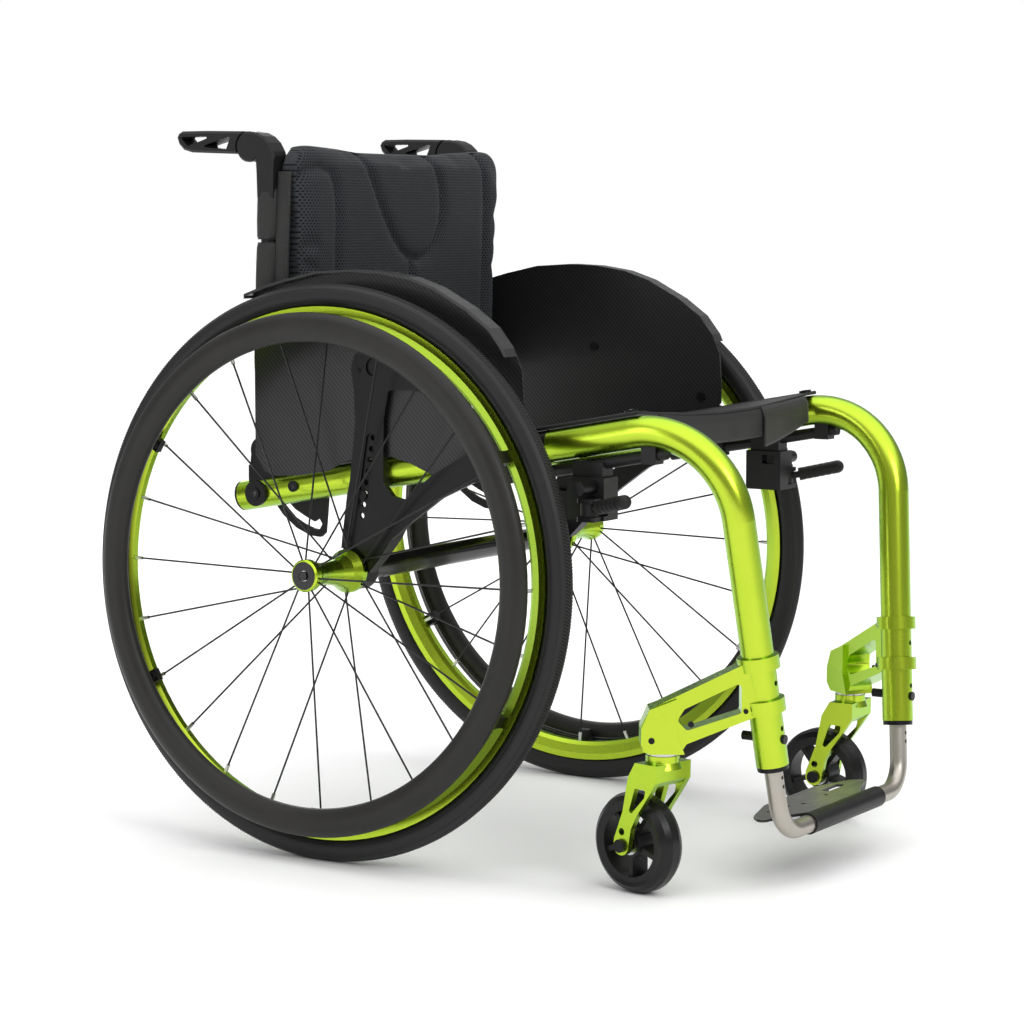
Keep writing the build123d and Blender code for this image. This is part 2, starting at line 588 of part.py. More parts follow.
def brake_fixed():
    """Rail under the seat tube with its two holders, and the brake housing on it."""
    rail = rod(rail_point(RAIL_Y[0]), rail_point(RAIL_Y[1]), RAIL_R)
    sleeve = rod(seat_axis(JOINER_Y[0]), seat_axis(JOINER_Y[1] - 1), JOINER_R + FIT)
    hole = rod(rail_point(RAIL_Y[0]), rail_point(RAIL_Y[1] - 20), RAIL_R + FIT)
    holders = []
    for y in (-222.0, -350.0):
        z = tube_z(y)
        holder = block((TUBE_X - 8, TUBE_X + 8), (y - 8, y + 8), (z - RAIL_DROP - 8, z - 4))
        holders.append(holder - FRONT_TUBE_SPACE - sleeve - hole)
    x, y = BRAKE_BODY_X, BRAKE_BODY_Y
    top = tube_z(sum(y) / 2) - RAIL_DROP
    housing = block(x, y, (LEVER_Z - 11.5, SHOE_Z + 9))
    housing += block((TUBE_X - 10, TUBE_X + 10), (y[0] + 4, y[1] - 4), (SHOE_Z + 5, top + 4))
    px, py = LEVER_PIVOT
    ears = block((x[1] - 4, px + 9.5), (py - 10, py + 10), (LEVER_Z - 11.5, LEVER_Z + 11.0))
    ears -= block((x[1], px + 20), (py - 20, py + 20), (LEVER_Z - LEVER_HALF - GAP, LEVER_Z + LEVER_HALF + GAP))
    ears &= Pos(px, py, LEVER_Z) * Cylinder(12.2, 60)
    housing += ears
    housing -= block((x[1] - 8, px + 20), (py - 14, py + 14),
                     (LEVER_Z - LEVER_HALF - GAP, LEVER_Z + LEVER_HALF + GAP))
    slot_y = (shoe_rest().Y - 4.5 - GAP, shoe_rest().Y + 4.5 + GAP + SHOE_SLOPE * SHOE_TRAVEL)
    housing -= block((x[0] - 1, x[1] + 1), slot_y, (SHOE_Z - 4.5 - GAP, SHOE_Z + 4.5 + GAP))
    housing -= hole
    pin = rod((px, py, LEVER_Z - 11.5), (px, py, LEVER_Z + 11.0), LEVER_PIN_R)
    housing -= rod((px, py, LEVER_Z - 12), (px, py, LEVER_Z + 12), LEVER_PIN_R + FIT)
    return rail - FRONT_TUBE_SPACE, group(*holders), housing, pin


def shoe_axis():
    return Vector(sqrt(1 - SHOE_SLOPE ** 2), SHOE_SLOPE, 0)


def shoe_rest():
    """Centre of the brake shoe when the brake is off."""
    height = SHOE_Z - HUB_Z
    tyre_front = -sqrt(TYRE_R ** 2 - height ** 2)
    on = Vector(WHEEL_X - height * sin(radians(CAMBER)) - 1, tyre_front - SHOE_R - SHOE_TYRE_GAP, SHOE_Z)
    return on - shoe_axis() * SHOE_TRAVEL


def brake_shoe():
    at = shoe_rest()
    shoe = rod(at - Vector(SHOE_HALF - 0.6, 0, 0), at + Vector(SHOE_HALF, 0, 0), SHOE_R)
    stem = block((BRAKE_BODY_X[0] + 2, at.X), (at.Y - 4.5, at.Y + 4.5), (SHOE_Z - 4.5, SHOE_Z + 4.5))
    return shoe + stem


def brake_lever():
    px, py = LEVER_PIVOT
    hub = Pos(px, py, LEVER_Z) * Cylinder(9.0, 2 * LEVER_HALF)
    tip = Vector(*LEVER_TIP)
    root = Vector(px, py, LEVER_Z)
    out = (tip - root).normalized()
    knee = root + out * 16
    lever = hub + rod(root + out * 2, knee, 3.7)
    lever += rod(knee, tip - out * 6, 7.0) + Pos(*(tip - out * 6)) * Sphere(7.0)
    for i in range(5):
        at = knee + out * (7 + 7.0 * i)
        lever -= rod(at, at + out * 1.0, 9.0) - rod(at, at + out * 1.0, 6.4)
    return lever - Pos(px, py, LEVER_Z) * Cylinder(LEVER_PIN_R + RUNNING, 60)


# ---------------------------------------------------------------- backrest
def backrest_place():
    return Location((0, PIVOT_Y, PIVOT_Z), (LEAN, 0, 0))


def backrest_pieces():
    place = backrest_place()
    foot_top = PIVOT_LUG_R + 22
    post = Pos(POST_X, 0, foot_top) * (Cylinder(POST_R, POST_TOP - foot_top, align=BASE)
                                       - Cylinder(POST_R - POST_WALL, POST_TOP - foot_top, align=BASE))
    lug = Pos(POST_X, 0, 0) * (Rot(0, 90, 0) * Cylinder(PIVOT_LUG_R - 1, 2 * LUG_HALF))
    lug += Pos(POST_X, 0, 0) * Box(2 * LUG_HALF, 1.8 * POST_R, PIVOT_LUG_R + 8, align=BASE)
    lug += Pos(POST_X, 0, PIVOT_LUG_R + 4) * Cylinder(POST_R, foot_top - PIVOT_LUG_R - 4 - FIT, align=BASE)
    lug += Pos(POST_X, 0, foot_top - 1) * Cylinder(POST_R - POST_WALL - FIT, 20, align=BASE)
    lug -= Pos(POST_X, 0, 0) * (Rot(0, 90, 0) * Cylinder(PIVOT_R + RUNNING, 60))
    reach = POST_X - POST_R
    bar = Pos(0, 0, CROSS_BAR_UP) * (Rot(0, 90, 0) * Cylinder(CROSS_BAR_R, 2 * reach + 8))
    for side in (1, -1):
        bar -= Pos(side * POST_X, 0, 0) * Cylinder(POST_R + FIT, 2 * POST_TOP)
    w, r = PAD_HALF_WIDTH, 26.0
    pad = Pos(0, -POST_R - GAP - PAD_THICKNESS / 2, (PAD_BOTTOM + PAD_TOP) / 2) * Box(
        2 * w, PAD_THICKNESS, PAD_TOP - PAD_BOTTOM)
    pad = fillet(pad.edges().filter_by(Axis.Y), r)
    pad = chamfer(pad.edges().group_by(Axis.Y)[0], 7)
    return place * post, place * lug, place * bar, place * pad


def backrest_bracket():
    """Clamp on the rear tube with the two cheeks that hold the backrest pivot."""
    y, z = PIVOT_Y, PIVOT_Z
    inner, outer = LUG_HALF + GAP, LUG_HALF + GAP + CHEEK
    bracket = None
    for x0, x1 in ((-outer, -inner), (inner, outer)):
        cheek = disc_x(y, z, PIVOT_LUG_R, POST_X + x0, POST_X + x1)
        cheek += prism([(y - 13, z - 40), (y - 13, z), (y + 13, z), (y + 18, z - 44)], POST_X + x0, POST_X + x1)
        bracket = cheek if bracket is None else bracket + cheek
    base_z = tube_z(y)
    bracket += block((POST_X - outer, POST_X + outer), (y - 13, y + 17), (base_z + 4, z - PIVOT_LUG_R - 2))
    bracket -= rod(seat_axis(60), seat_axis(200), TUBE_R + FIT)
    pin = disc_x(y, z, PIVOT_R, POST_X - outer - 3, POST_X + outer + 1)
    pin += disc_x(y, z, 7.5, POST_X - outer - 3.5, POST_X - outer - FIT)
    pin += disc_x(y, z, 7.0, POST_X + outer + FIT, POST_X + outer + 2.5)
    bracket -= disc_x(y, z, PIVOT_R + FIT, POST_X - outer - 3, POST_X + outer + 1)
    return bracket, pin


def lock_plate():
    """Sector plate on the inner side of the rear tube, with its hooked slot."""
    x1 = TUBE_X - TUBE_R - GAP
    x0 = x1 - 3.0
    outline = [(128, 364), (124, 356), (112, 342), (94, 329), (76, 322), (62, 321), (56, 326), (54, 345), (51, 377),
               (70, 376), (110, 369)]
    plate = prism(outline, x0, x1, radius=4.0)
    slot = [(110, 352), (100, 342), (84, 334), (72, 330), (64, 329), (60, 335), (64, 341), (70, 337), (82, 342),
            (96, 349), (106, 358)]
    plate -= prism(slot, x0 - 1, x1 + 1, radius=1.4)
    return plate


# ---------------------------------------------------------------- push handles
def handle_parts():
    y, z = HANDLE_PIVOT
    x0, x1 = HANDLE_X - HANDLE_HALF, HANDLE_X + HANDLE_HALF
    outline = [(97, 676), (95.5, 700), (96.5, 714), (100, 725), (105.5, 734), (113, 740.5), (122, 744.5)]
    for i in range(14):
        turn = radians(95 - 17 * i)
        outline.append((y + HANDLE_HUB_R * cos(turn), z + HANDLE_HUB_R * sin(turn)))
    head = prism(outline + [(122.8, 704), (122.4, 690), (122, 676)], x0, x1)
    head = chamfer(head.faces().filter_by(Axis.X).edges(), 2.0)
    head -= disc_x(y, z, HANDLE_HUB_R + 1, HANDLE_X - TONGUE_HALF - GAP, HANDLE_X + TONGUE_HALF + GAP)
    head -= disc_x(y, z, HANDLE_PIN_R + FIT, x0 + 2, x1 - 2)
    place = backrest_place()
    head -= place * (Pos(POST_X, 0, 0) * Cylinder(POST_R + FIT, 2 * (POST_TOP + FIT)))
    pad_front = place * (Pos(0, -POST_R - GAP, 0) * Box(600, 200, 1000, align=(Align.CENTER, Align.MAX, Align.CENTER)))
    head -= pad_front
    head = max(head.solids(), key=lambda solid: solid.volume)
    pin = disc_x(y, z, HANDLE_PIN_R, x0 + 2 + FIT, x1 - 2 - FIT)
    grip = prism([(y + 8, z + 16.2), (190, z + 17.4), (222, z + 17.4), (227, z + 15), (229.5, z + 11),
                  (227, z + 4), (220.5, z - 2), (209, z - 5), (y + 13, z - 7.5)], x0 + 0.5, x1 - 0.5)
    ends = grip.faces().filter_by(Axis.X).edges()
    grip = chamfer(ends, 2.5)
    grip -= disc_x(y, z, HANDLE_HUB_R + 2 * GAP, x0 - 1, x1 + 1)
    for window in ([(224, z + 11.5), (181, z + 11.5), (214, z + 1.5)],
                   [(197, z + 0.8), (160, z + 10.5), (156, z + 10.5), (162, z - 2.5)]):
        grip -= prism(window, x0 - 1, x1 + 1, radius=1.2)
    tongue = disc_x(y, z, HANDLE_HUB_R - 4, HANDLE_X - TONGUE_HALF, HANDLE_X + TONGUE_HALF)
    tongue += block((HANDLE_X - TONGUE_HALF, HANDLE_X + TONGUE_HALF), (y, y + 21), (z - 5, z + 11))
    grip = grip + tongue
    grip -= disc_x(y, z, HANDLE_PIN_R + RUNNING, x0 - 1, x1 + 1)
    return head, pin, grip


# ---------------------------------------------------------------- seat
def seat_sling():
    """Sling between the tubes, drawn across the chair square to the tubes, with its front valance."""
    lift = TUBE_R + HEM_LIFT
    hem = TUBE_X + 7
    top = [(hem, lift + 3.2), (TUBE_X - 5, lift + 3.6), (TUBE_X - 22, lift + 2.0), (TUBE_X - 60, lift - 1.8),
           (0, lift - 5.5)]
    low = [(0, lift - 9.5), (TUBE_X - 60, lift - 6.0), (TUBE_X - 19, lift - 2.6), (TUBE_X - 9, lift - 0.1),
           (hem, lift)]
    right = [(-x, n) for x, n in reversed(top[:-1])]
    right_low = [(-x, n) for x, n in reversed(low[1:])]
    start = seat_axis(SLING_Y[0], 0.0)
    along = (seat_axis(SLING_Y[1], 0.0) - start).normalized()
    place = Plane(origin=start, x_dir=(-1, 0, 0), z_dir=along)
    outline = top + right + right_low + low[:-1] + [low[-1]]
    length = (seat_axis(SLING_Y[1], 0.0) - start).length
    sling = extrude(make_face(place * Polyline(*outline, close=True)), amount=length, dir=along)
    half = TUBE_X - 35
    front = start.Z
    sling += block((-half, half), (SLING_Y[0] - 5, SLING_Y[0] + 3), (front - VALANCE_DROP, front + 1))
    return sling


def dome_screw(at, out, radius, height):
    return rod(at, at + out * height, radius)


def fasteners():
    """Screws of the seat edge, the guards, the frame joiners and the backrest clamps, for one side."""
    up = Vector(0, sin(radians(SEAT_ANGLE)), cos(radians(SEAT_ANGLE)))
    screws = []
    for y in (-330.0, 84.0):
        base = seat_axis(y) + up * (TUBE_R + HEM_LIFT + 3.7)
        screws.append(dome_screw(base, up, 6.5, 2.6))
    for y, z in ((-50.0, 511.0), (-189.0, 458.5)):
        screws.append(disc_x(y, z, 5.0, GUARD_X - 1.6, GUARD_X))
    face = BRACKET_X + BRACKET_THICKNESS
    screws.append(disc_x(-17.5, 500.5, 2.6, face, face + 0.8))
    screws.append(disc_x(-21.6, 373.4, 5.0, face - 2.0, face + 0.4) - bracket)
    side = TUBE_X + TUBE_R
    screws.append(disc_x(72.7, 377.0, 5.8, side, side + 2.6))
    screws.append(disc_x(PIVOT_Y, tube_z(PIVOT_Y), 13.5, side, side + 4.0))
    screws.append(disc_x(PIVOT_Y, tube_z(PIVOT_Y), 6.0, side + 4.0, side + 5.5))
    return group(*screws)


# ---------------------------------------------------------------- assembly
for name, shape in rear_wheel().items():
    both_sides(name, WHEEL.location * shape)
axle, button, sleeve = axle_parts()
both_sides("release_axle", WHEEL.location * axle)
both_sides("release_button", WHEEL.location * button)
sleeve = WHEEL.location * sleeve
NODES["axle_sleeves"] = pair(sleeve)

both_sides("front_tube", front_tube())
NODES["rear_tubes"] = pair(rear_tube())
NODES["tube_joiners"] = group(pair(joiner()), *[pair(piece) for piece in tube_ends()])
bracket = axle_bracket(sleeve)
both_sides("axle_bracket", bracket)
NODES["camber_tube"] = camber_tube(bracket, sleeve)
both_sides("side_guard", side_guard())
NODES["footrest_tube"], NODES["footplate_sleeve"], NODES["footplate"] = footrest()

caster_arm_solid = caster_arm()
both_sides("caster_arm", caster_arm_solid)
NODES["stem_bearings"] = pair(stem_bearings())
tyre, hub, bearings = caster_wheel()
for side in ("left", "right"):
    place = Pos(STEM_XY[0], STEM_XY[1], 0) * Rot(0, 0, SWIVEL[side])
    pieces = {"caster_fork": caster_fork(), "caster_bolts": caster_bolts(), "caster_tyre": tyre,
              "caster_hub": hub, "caster_bearings": bearings}
    for name, shape in pieces.items():
        placed = place * shape
        NODES[side + "_" + name] = placed if side == "left" else mirrored(placed)

rail, holders, housing, pin = brake_fixed()
NODES["brake_housings"] = group(pair(rail), pair(holders), pair(housing))
both_sides("brake_lever", brake_lever())
both_sides("brake_shoe", brake_shoe())

post, lug, cross_bar, pad = backrest_pieces()
NODES["backrest_posts"] = group(pair(post), cross_bar)
NODES["backrest_feet"] = pair(lug)
NODES["backrest_pad"] = pad
hinge, hinge_pin = backrest_bracket()
NODES["backrest_brackets"] = group(pair(hinge), pair(lock_plate()))
head, handle_pin, grip = handle_parts()
NODES["handle_heads"] = group(pair(head), pair(handle_pin))
both_sides("push_handle", grip)

NODES["seat_sling"] = seat_sling()
NODES["frame_screws"] = group(pair(fasteners()), pair(footrest_screws()), pair(arm_screws()), pair(pin),
                              pair(hinge_pin))

boxes = [node.bounding_box() for node in NODES.values()]
LOW = [min(getattr(box.min, axis) for box in boxes) for axis in "XYZ"]
HIGH = [max(getattr(box.max, axis) for box in boxes) for axis in "XYZ"]
ORIGIN = Vector((LOW[0] + HIGH[0]) / 2, (LOW[1] + HIGH[1]) / 2, LOW[2])

if __name__ == "__main__":
    os.makedirs("parts", exist_ok=True)
    print("origin in the drawing frame:", ORIGIN)
    print("size:", [round(high - low, 2) for low, high in zip(LOW, HIGH)])
    for name, shape in NODES.items():
        export_step(Pos(-ORIGIN.X, -ORIGIN.Y, -ORIGIN.Z) * shape, f"parts/{name}.step")
    print(len(NODES), "nodes")
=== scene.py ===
# %% [markdown]
# # A rigid-frame wheelchair, dressed for its portrait
# The frame, wheels and hinges come from the measured CAD model. This notebook gives every piece its
# finish and makes the soft and repeated pieces: the padded back, the sling seat, the tread, the
# stitches and the straps.

# %% Load the measured frame
import json
import math
import bmesh
import bpy
from mathutils import Matrix, Vector, noise

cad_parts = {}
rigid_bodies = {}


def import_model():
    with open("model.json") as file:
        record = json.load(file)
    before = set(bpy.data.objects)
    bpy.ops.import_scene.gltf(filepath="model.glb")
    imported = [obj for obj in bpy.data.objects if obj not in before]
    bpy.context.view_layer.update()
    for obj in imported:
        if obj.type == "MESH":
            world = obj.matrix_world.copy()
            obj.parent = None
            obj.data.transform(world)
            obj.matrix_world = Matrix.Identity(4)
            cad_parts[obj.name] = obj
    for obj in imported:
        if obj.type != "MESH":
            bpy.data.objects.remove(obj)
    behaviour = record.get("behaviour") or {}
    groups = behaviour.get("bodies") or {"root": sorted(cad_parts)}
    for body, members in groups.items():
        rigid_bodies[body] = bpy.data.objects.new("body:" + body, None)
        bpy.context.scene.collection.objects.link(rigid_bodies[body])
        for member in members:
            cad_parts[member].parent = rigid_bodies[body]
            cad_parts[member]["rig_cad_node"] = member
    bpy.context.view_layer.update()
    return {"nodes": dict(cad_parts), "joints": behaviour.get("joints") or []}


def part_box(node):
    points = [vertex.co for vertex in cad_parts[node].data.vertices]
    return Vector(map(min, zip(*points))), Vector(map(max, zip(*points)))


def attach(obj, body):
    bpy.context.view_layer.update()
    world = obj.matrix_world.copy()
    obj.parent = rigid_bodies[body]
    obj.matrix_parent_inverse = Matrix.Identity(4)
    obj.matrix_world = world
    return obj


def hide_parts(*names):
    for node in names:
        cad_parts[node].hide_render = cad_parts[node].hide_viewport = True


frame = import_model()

nodes = frame["nodes"]
joints = {joint["name"]: joint for joint in frame["joints"]}
print("pieces from the CAD:", len(nodes))

# %% [markdown]
# ## Where things are
# The chair was drawn from its rear axle, in millimetres. The wheel joints say where that axle ended
# up, so one small function turns a drawing position into a place in the scene.

# %% Drawing positions
MM = 0.001
HUB = {side: Vector(joints[side + "_wheel_spin"]["pos_m"]) for side in ("left", "right")}
AXLE = {side: Vector(joints[side + "_wheel_spin"]["axis"]) for side in ("left", "right")}
AXLE_Y = HUB["left"].y
OUTWARD = {"left": 1, "right": -1}


def place(x, y, z):
    """Scene position of a drawing position in millimetres."""
    return Vector((x * MM, y * MM + AXLE_Y, z * MM))


print("rear axle at y =", round(AXLE_Y, 4))

# %% [markdown]
# ## The camera
# A long lens from the front right corner of the chair, a little above the floor. The lens length is
# the one that gives the same convergence of the tubes as the picture to be matched.

# %% Camera
camera = bpy.data.objects.new("camera", bpy.data.cameras.new("camera"))
bpy.context.scene.collection.objects.link(camera)
eye = place(-2488.54, -1679.81, 652.53)
look_at = place(1.42, -68.0, 340.1)
camera.location = eye
camera.rotation_euler = (look_at - eye).to_track_quat("-Z", "Y").to_euler()
camera.data.lens = 97.07
camera.data.sensor_width = 36.0
camera.data.clip_end = 50.0
bpy.context.scene.camera = camera
print("camera distance", round((look_at - eye).length, 3), "m")

# %% [markdown]
# ## Studio
# Metal shows what surrounds it, so an all-white room would make it flat and turn the black pieces
# grey. The room that lights the chair is a gradient, bright overhead and dim at the sides, and a
# wide soft sun keeps the pale floor evenly lit to its far edge. The Light Path node lets the
# backdrop itself stay white.

# %% Floor, room and lamps
def studio_floor():
    mesh = bpy.data.meshes.new("floor")
    reach = 30.0
    mesh.from_pydata([(-reach, -reach, 0), (reach, -reach, 0), (reach, reach, 0), (-reach, reach, 0)], [],
                     [(0, 1, 2, 3)])
    floor = bpy.data.objects.new("floor", mesh)
    bpy.context.scene.collection.objects.link(floor)
    paper = bpy.data.materials.new("floor_paper")
    paper.use_nodes = True
    shader = paper.node_tree.nodes["Principled BSDF"]
    shader.inputs["Base Color"].default_value = (0.97, 0.97, 0.97, 1)
    shader.inputs["Roughness"].default_value = 1.0
    shader.inputs["Specular IOR Level"].default_value = 0.0
    mesh.materials.append(paper)


def soft_lamp(name, where, towards, size, watts):
    lamp = bpy.data.objects.new(name, bpy.data.lights.new(name, "AREA"))
    bpy.context.scene.collection.objects.link(lamp)
    lamp.data.shape = "RECTANGLE"
    lamp.data.size, lamp.data.size_y = size
    lamp.data.energy = watts
    lamp.location = where
    lamp.rotation_euler = (Vector(towards) - Vector(where)).to_track_quat("-Z", "Y").to_euler()


def gradient_room():
    world = bpy.data.worlds.new("room")
    world.use_nodes = True
    tree = world.node_tree
    make, link = tree.nodes.new, tree.links.new
    direction = make("ShaderNodeTexCoord")
    parts, ramp = make("ShaderNodeSeparateXYZ"), make("ShaderNodeValToRGB")
    link(direction.outputs["Generated"], parts.inputs[0])
    link(parts.outputs[2], ramp.inputs[0])
    stops = ramp.color_ramp.elements
    stops[0].position, stops[0].color = 0.0, (0.26, 0.27, 0.27, 1)
    stops[1].position, stops[1].color = 0.85, (1.0, 1.0, 1.0, 1)
    stops.new(0.30).color = (0.42, 0.43, 0.43, 1)
    lit, seen = tree.nodes["Background"], make("ShaderNodeBackground")
    link(ramp.outputs[0], lit.inputs["Color"])
    lit.inputs["Strength"].default_value = 0.80
    seen.inputs["Color"].default_value = (1, 1, 1, 1)
    path, choose = make("ShaderNodeLightPath"), make("ShaderNodeMixShader")
    link(path.outputs["Is Camera Ray"], choose.inputs[0])
    link(lit.outputs[0], choose.inputs[1])
    link(seen.outputs[0], choose.inputs[2])
    link(choose.outputs[0], tree.nodes["World Output"].inputs["Surface"])
    bpy.context.scene.world = world


def soft_sun():
    sun = bpy.data.objects.new("soft_sun", bpy.data.lights.new("soft_sun", "SUN"))
    bpy.context.scene.collection.objects.link(sun)
    sun.data.energy, sun.data.angle = 1.75, math.radians(100)
    sun.rotation_euler = (math.radians(12), math.radians(-8), 0)


studio_floor()
gradient_room()
soft_sun()
soft_lamp("front", (-1.5, -3.0, 2.0), (0, 0, 0.4), (1.2, 1.2), 26)
soft_lamp("side", (-3.2, 1.4, 1.2), (0, 0, 0.35), (0.7, 1.9), 14)
soft_lamp("back", (2.2, 2.4, 1.8), (0, 0, 0.4), (1.2, 1.0), 16)
bpy.context.scene.view_settings.view_transform = "Standard"

# %% [markdown]
# ## Shader maths as Python
# A material's nodes can be wired by hand, but a long formula soon becomes a knot. Here a small
# class stands for one socket, and the usual signs (+, -, *, /) add Math nodes, so a pattern reads
# like a formula.

# %% A wire with arithmetic
class Wire:
    """One output socket of a material; arithmetic on it adds Math nodes."""

    def __init__(self, tree, socket):
        self.tree, self.socket = tree, socket

    def math(self, operation, *values):
        node = self.tree.nodes.new("ShaderNodeMath")
        node.operation = operation
        for socket, value in zip(node.inputs, values):
            plug(self.tree, socket, value)
        return Wire(self.tree, node.outputs[0])

    def __add__(self, other):
        return self.math("ADD", self, other)

    def __radd__(self, other):
        return self.math("ADD", other, self)

    def __sub__(self, other):
        return self.math("SUBTRACT", self, other)

    def __rsub__(self, other):
        return self.math("SUBTRACT", other, self)

    def __mul__(self, other):
        return self.math("MULTIPLY", self, other)

    def __rmul__(self, other):
        return self.math("MULTIPLY", other, self)

    def __truediv__(self, other):
        return self.math("DIVIDE", self, other)

    def sine(self):
        return self.math("SINE", self)

    def floor(self):
        return self.math("FLOOR", self)

    def fraction(self):
        return self.math("FRACT", self)

    def absolute(self):
        return self.math("ABSOLUTE", self)

    def root(self):
        return self.math("SQRT", self)

    def above(self, limit):
        return self.math("GREATER_THAN", self, limit)

    def below(self, limit):
        return self.math("LESS_THAN", self, limit)

    def clip(self):
        return self.math("MINIMUM", self.math("MAXIMUM", self, 0.0), 1.0)


def plug(tree, socket, value):
    """Links a wire to a socket, or sets the socket's own value."""
    if isinstance(value, Wire):
        tree.links.new(value.socket, socket)
    elif hasattr(value, "__len__") and len(value) == 3 and socket.type == "RGBA":
        socket.default_value = (*value, 1.0)
    else:
        socket.default_value = value


# %% [markdown]
# ## A finish
# Every material starts from a Principled shader. One method adds any other node: its type, its
# settings, and what goes into its sockets. Patterns read Object coordinates, so they stay at their
# real size.

# %% The finish helper
class Finish:
    """One material with a Principled shader and patterns in object space."""

    def __init__(self, name, **constants):
        self.material = bpy.data.materials.new(name)
        self.material.use_nodes = True
        self.tree = self.material.node_tree
        self.shader = self.tree.nodes["Principled BSDF"]
        self.where = self.node("ShaderNodeTexCoord", {}, {}, "Object")
        for socket, value in constants.items():
            plug(self.tree, self.shader.inputs[socket.replace("_", " ")], value)

    def node(self, kind, settings, sockets, out=0):
        node = self.tree.nodes.new(kind)
        stops = settings.pop("stops", None)
        for key, value in settings.items():
            setattr(node, key, value)
        if stops:
            ramp = node.color_ramp.elements
            while len(ramp) < len(stops):
                ramp.new(0.5)
            for element, (position, colour) in zip(ramp, stops):
                element.position, element.color = position, (*colour, 1.0)
        for key, value in sockets.items():
            plug(self.tree, node.inputs[key], value)
        return Wire(self.tree, node.outputs[out])

    def set(self, socket, wire):
        plug(self.tree, self.shader.inputs[socket], wire)

    def noise(self, scale, detail=2.0, stretch=None):
        vector = self.where
        if stretch:
            vector = self.node("ShaderNodeMapping", {}, {"Vector": self.where, "Scale": stretch})
        return self.node("ShaderNodeTexNoise", {}, {"Vector": vector, "Scale": scale, "Detail": detail})

    def blend(self, factor, first, second):
        """A colour between two colours."""
        return self.node("ShaderNodeMix", {"data_type": "RGBA"}, {0: factor, 6: first, 7: second}, 2)

    def subtract(self, first, second):
        return self.node("ShaderNodeVectorMath", {"operation": "SUBTRACT"}, {0: first, 1: second})

    def dot(self, first, second):
        return self.node("ShaderNodeVectorMath", {"operation": "DOT_PRODUCT"}, {0: first, 1: second}, 1)

    def axis(self, letter):
        return self.node("ShaderNodeSeparateXYZ", {}, {0: self.where}, "XYZ".index(letter))

    def bump(self, height, distance, strength=1.0, under=None):
        sockets = {"Height": height, "Distance": distance, "Strength": strength}
        if under:
            sockets["Normal"] = under
        wire = self.node("ShaderNodeBump", {}, sockets)
        self.set("Normal", wire)
        return wire


# %% [markdown]
# ## Lime anodised metal
# The tubes, forks, caster arms, hubs and rims are aluminium with a clear green dye over a smooth
# satin face. The base colour paints shade: Layer Weight, which follows the surface's tilt to the
# view, turns the yellow-green face to a deep green on the sides that turn away, a painted shade.
# A soft noise shifts the dye and the gleam.

# %% Lime anodised
def lime_anodised(name="lime_anodised", roughness=0.27):
    f = Finish(name, Metallic=1.0, Coat_Weight=0.25, Coat_Roughness=0.12)
    painted_side_shade = f.node("ShaderNodeLayerWeight", {}, {"Blend": 0.35}, 1)
    cloud = f.noise(14.0, 2.0)
    face = f.blend(cloud, (0.52, 0.64, 0.042), (0.46, 0.61, 0.032))
    # The deep green is painted shade on the sides that turn away from the view, set by the surface's tilt.
    f.set("Base Color", f.blend((painted_side_shade * 1.1).clip(), face, (0.17, 0.50, 0.010)))
    f.set("Roughness", roughness + (cloud - 0.5) * 0.04)
    return f.material


lime = lime_anodised()
print("finish:", lime.name)

# %% [markdown]
# ## Black finishes
# Anodised brackets are satin, moulded plastic has a faint spark texture, and rubber is rougher
# still with a bit of bloom. All are nearly black, so what tells them apart is roughness, and the
# small bumps that break the gleam.

# %% Black metal, plastic and rubber
def black_finish(name, colour, roughness, grain_scale, grain_depth, metallic=0.0, coat=0.0, gleam=0.26):
    f = Finish(name, Metallic=metallic, Coat_Weight=coat, Coat_Roughness=0.08, Specular_IOR_Level=gleam)
    grain = f.noise(grain_scale, 3.0)
    cloud = f.noise(22.0, 3.0)
    dark = tuple(c * 0.75 for c in colour)
    f.set("Base Color", f.blend(cloud, dark, tuple(c * 1.3 for c in colour)))
    f.set("Roughness", (roughness + (grain - 0.5) * 0.14 + (cloud - 0.5) * 0.12).clip())
    f.bump(grain, grain_depth, 0.6)
    return f.material


black_anodised = black_finish("black_anodised", (0.006, 0.006, 0.0065), 0.38, 1600.0, 0.00002, metallic=0.2)
black_plastic = black_finish("black_plastic", (0.009, 0.009, 0.009), 0.42, 1100.0, 0.00006)
black_gloss = black_finish("black_gloss", (0.007, 0.007, 0.007), 0.22, 500.0, 0.00001, coat=0.5)
grip_rubber = black_finish("grip_rubber", (0.009, 0.009, 0.009), 0.5, 900.0, 0.0001)
caster_rubber = black_finish("caster_rubber", (0.008, 0.008, 0.008), 0.32, 700.0, 0.00002)
handrim_coat = black_finish("handrim_coat", (0.017, 0.016, 0.015), 0.42, 2200.0, 0.00003)
print("black finishes made")

# %% [markdown]
# ## Bright metal
# Bearings, axles and screws are turned steel, and the footrest tube is bead-blasted titanium,
# warmer and duller. A noise stretched along the tube stands for its drawing marks.

# %% Steel and titanium
def turned_metal(name, colour, roughness, stretch):
    f = Finish(name, Metallic=1.0)
    lines = f.noise(900.0, 2.0, stretch)
    cloud = f.noise(30.0, 2.0)
    f.set("Base Color", f.blend(cloud, tuple(c * 0.88 for c in colour), colour))
    f.set("Roughness", roughness + (lines - 0.5) * 0.18 + (cloud - 0.5) * 0.08)
    f.bump(lines, 0.00001, 0.4)
    return f.material


bright_steel = turned_metal("bright_steel", (0.58, 0.58, 0.59), 0.26, (1.0, 0.2, 1.0))
titanium = turned_metal("titanium", (0.46, 0.43, 0.385), 0.38, (0.4, 1.0, 0.25))
screw_black = black_finish("screw_black", (0.014, 0.014, 0.015), 0.34, 600.0, 0.00001, metallic=0.6)
print("bright finishes made")

